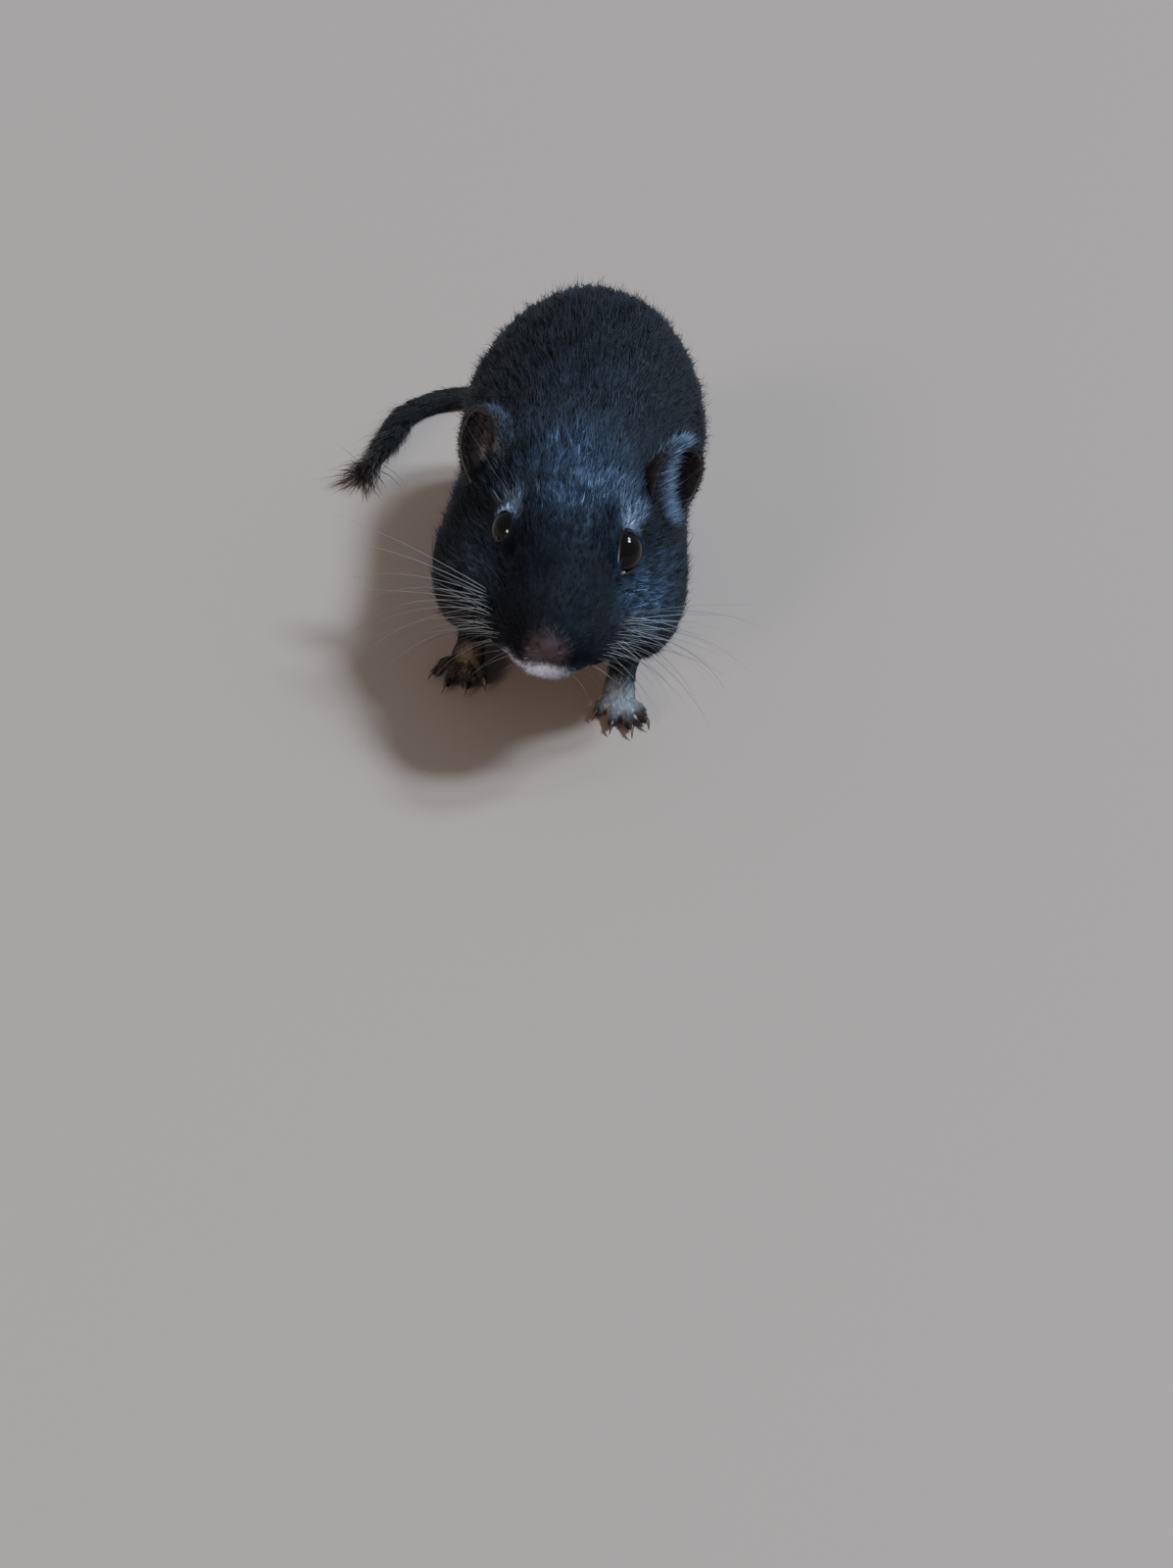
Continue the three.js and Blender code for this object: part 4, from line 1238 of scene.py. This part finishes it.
for side, name in ((1, "left"), (-1, "right")):
    cup = newPiece("earCup_" + name, earMesh(side), earMaterial)
    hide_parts("ear_" + name)
    earHair(side, name)
print("ears done")


clawMaterial = bareMaterial(
    "clawHorn", (0.035, 0.025, 0.020), (0.11, 0.082, 0.064), 1500.0, 0.32, 0.15)
for side, name in ((1, "left"), (-1, "right")):
    for kind, forward in (("fore", steps[side]), ("hind", -steps[side])):
        parts = [limb(claw, 10, 12, 0.3) for bone, claw in toeRows(kind, side, forward)]
        points, faces = joined(parts)
        points[:, 2] = np.maximum(points[:, 2], 0.05)
        newPiece(f"claws_{kind}_{name}", newMesh("claws", points, faces), clawMaterial)
print("claws done")


whiskers = {
    "rows": 7, "perRow": 7, "seed": 5,
    "longest": 31.0, "shortest": 8.0, "thick": 0.085,
    # the foremost root of the lowest row, how far a row runs back and climbs, and how high they stack
    "front": (-56.2, 20.6), "back": 8.0, "climb": 2.2, "stack": 3.4,
    # the way the hairs of the highest and of the lowest row set out and end
    "high": ((0.92, 0.12, 0.16), (0.72, 0.66, -0.44)),
    "low": ((0.80, 0.00, -0.45), (0.42, 0.40, -1.05)),
    # single hairs over the eye and on the cheek: number, root, step to the next, the way they set
    # out and end, length, step in length
    "single": [
        (3, (7.2, -43.0, 36.6), (0.5, 0.8, 0.2), (0.5, -0.5, 0.75), (0.6, 0.5, 0.6), 11, 2),
        (2, (14.0, -41.0, 24.0), (1.0, 1.0, 0.0), (0.8, -0.3, 0.0), (0.4, 0.8, -0.2), 11, 3),
    ],
    "singleThick": 0.06, "singleMarking": (0.06, 0.06, 0.07),
}
whiskerMaterial, nodes, links, shader = newMaterial("whiskerHair", 0.3, 0.6)
links.new(attributeNode(nodes, "marking").outputs["Color"], shader.inputs["Base Color"])


# Curved hairs that thin to a point
def whiskerMesh():
    random = np.random.default_rng(whiskers["seed"])
    points, faces, colours = [], [], []
    sides, rings = 5, 12
    ribs = body["ribs"]

    def add(root, first, last, length, thick, colour):
        root = np.array(root)
        t = np.linspace(0, 1, rings)[:, None]
        way = unit(np.array(first) * (1 - t) ** 1.2 + np.array(last) * t)
        line = root + np.cumsum(np.vstack([np.zeros((1, 3)), way[:-1] * length / (rings - 1)]), axis=0)
        start = len(points)
        for k in range(rings):
            r = thick / 2 * (1 - 0.88 * k / (rings - 1))
            a = unit(np.cross(way[k], (0.1, 0.2, 1)))
            b = np.cross(way[k], a)
            for i in range(sides):
                turn = 2 * math.pi * i / sides
                points.append(line[k] + (a * math.cos(turn) + b * math.sin(turn)) * r)
                colours.append(colour)
        for k in range(rings - 1):
            for i in range(sides):
                j = (i + 1) % sides
                p = start + k * sides
                faces.append((p + i, p + sides + i, p + sides + j, p + j))
        faces.append(tuple(start + i for i in range(sides)))
        faces.append(tuple(start + (rings - 1) * sides + i for i in reversed(range(sides))))

    for side in (1, -1):
        for row in range(whiskers["rows"]):
            for k in range(whiskers["perRow"]):
                h, f = row / (whiskers["rows"] - 1), k / (whiskers["perRow"] - 1)
                y, z = whiskers["front"]
                y += whiskers["back"] * f + random.normal() * 0.3
                z += whiskers["stack"] * h + whiskers["climb"] * f + random.normal() * 0.2
                zc, half, above, below = (np.interp(y, ribs[:, 0], ribs[:, m]) for m in range(1, 5))
                rise = z - zc
                x = half * math.sqrt(max(0.1, 1 - (rise / (above if rise > 0 else below)) ** 2)) + 0.1
                length = whiskers["shortest"] + (whiskers["longest"] - whiskers["shortest"]) * f ** 1.1
                length *= random.uniform(0.7, 1.12)
                ways = [np.array(a) * h + np.array(b) * (1 - h) + random.normal(size=3) * 0.09
                        for a, b in zip(whiskers["high"], whiskers["low"])]
                ways[0][1] += 0.15 * f
                first, last = (mirrored(way, side) for way in ways)
                pale = random.uniform(0.05, 0.28)
                add((side * x, y, z), first, last, length, whiskers["thick"] * (0.7 + 0.5 * f),
                    np.array((pale, pale, pale * 1.04)))
        for number, root, step, first, last, length, longer in whiskers["single"]:
            for k in range(number):
                add(mirrored(np.array(root) + np.array(step) * k, side), mirrored(first, side),
                    mirrored(last, side), length + longer * k, whiskers["singleThick"],
                    np.array(whiskers["singleMarking"]))
    points = np.array(points)
    points[:, 2] = np.maximum(points[:, 2], 0.1)
    mesh = newMesh("whiskers", points, faces)
    colourAttribute(mesh, "marking", np.array(colours))
    return mesh


newPiece("whiskers", whiskerMesh(), whiskerMaterial)
print("whiskers done")


floorMaterial, nodes, links, shader = newMaterial("paleFloor", 0.75, 0.3)
shader.inputs["Base Color"].default_value = (0.40, 0.303, 0.252, 1)
floorMesh = bpy.data.meshes.new("floor")
floorMesh.from_pydata([(-4, -4, 0), (4, -4, 0), (4, 4, 0), (-4, 4, 0)], [], [(0, 1, 2, 3)])
floorMesh.materials.append(floorMaterial)
floor = bpy.data.objects.new("floor", floorMesh)
bpy.context.scene.collection.objects.link(floor)

world = bpy.data.worlds.new("softDaylight")
world.use_nodes = True
world.node_tree.nodes["Background"].inputs["Color"].default_value = (0.76, 0.87, 1.0, 1)
world.node_tree.nodes["Background"].inputs["Strength"].default_value = 0.34
bpy.context.scene.world = world

lights = {
    # the way it comes from, strength, spread in degrees, colour
    "window": ((0.50, 0.04, 0.86), 3.0, 11.0, (0.61, 0.80, 1.0)),
    "upperWindow": ((0.42, 0.28, 0.86), 1.6, 10.0, (0.61, 0.80, 1.0)),
    "room": ((-0.5, -0.85, 0.32), 1.5, 14.0, (1.0, 0.86, 0.72)),
}
for name, (source, strength, spread, colour) in lights.items():
    light = bpy.data.lights.new(name, "SUN")
    light.energy = strength
    light.angle = math.radians(spread)
    light.color = colour
    lamp = bpy.data.objects.new(name, light)
    bpy.context.scene.collection.objects.link(lamp)
    lamp.rotation_euler = (-Vector(source)).to_track_quat("-Z", "Y").to_euler()

view = {"at": (-1.0, -202.0, 116.0), "azimuth": -4.0, "elevation": 38.4, "roll": 12.2, "lens": 28.1}
azimuth, elevation, roll = (math.radians(view[k]) for k in ("azimuth", "elevation", "roll"))
ahead = Vector((-math.sin(azimuth) * math.cos(elevation), math.cos(azimuth) * math.cos(elevation),
                -math.sin(elevation)))
right = ahead.cross(Vector((0, 0, 1))).normalized()
above = right.cross(ahead)
rightRolled = right * math.cos(roll) + above * math.sin(roll)
aboveRolled = above * math.cos(roll) - right * math.sin(roll)
camera = bpy.data.objects.new("camera", bpy.data.cameras.new("camera"))
bpy.context.scene.collection.objects.link(camera)
at = np.array(view["at"]) * mm + origin
camera.matrix_world = Matrix((
    (rightRolled.x, aboveRolled.x, -ahead.x, at[0]),
    (rightRolled.y, aboveRolled.y, -ahead.y, at[1]),
    (rightRolled.z, aboveRolled.z, -ahead.z, at[2]),
    (0, 0, 0, 1)))
camera.data.sensor_width = 36.0
camera.data.lens = view["lens"]
camera.data.clip_start = 0.005
camera.data.clip_end = 20.0
bpy.context.scene.camera = camera
print("scene done")
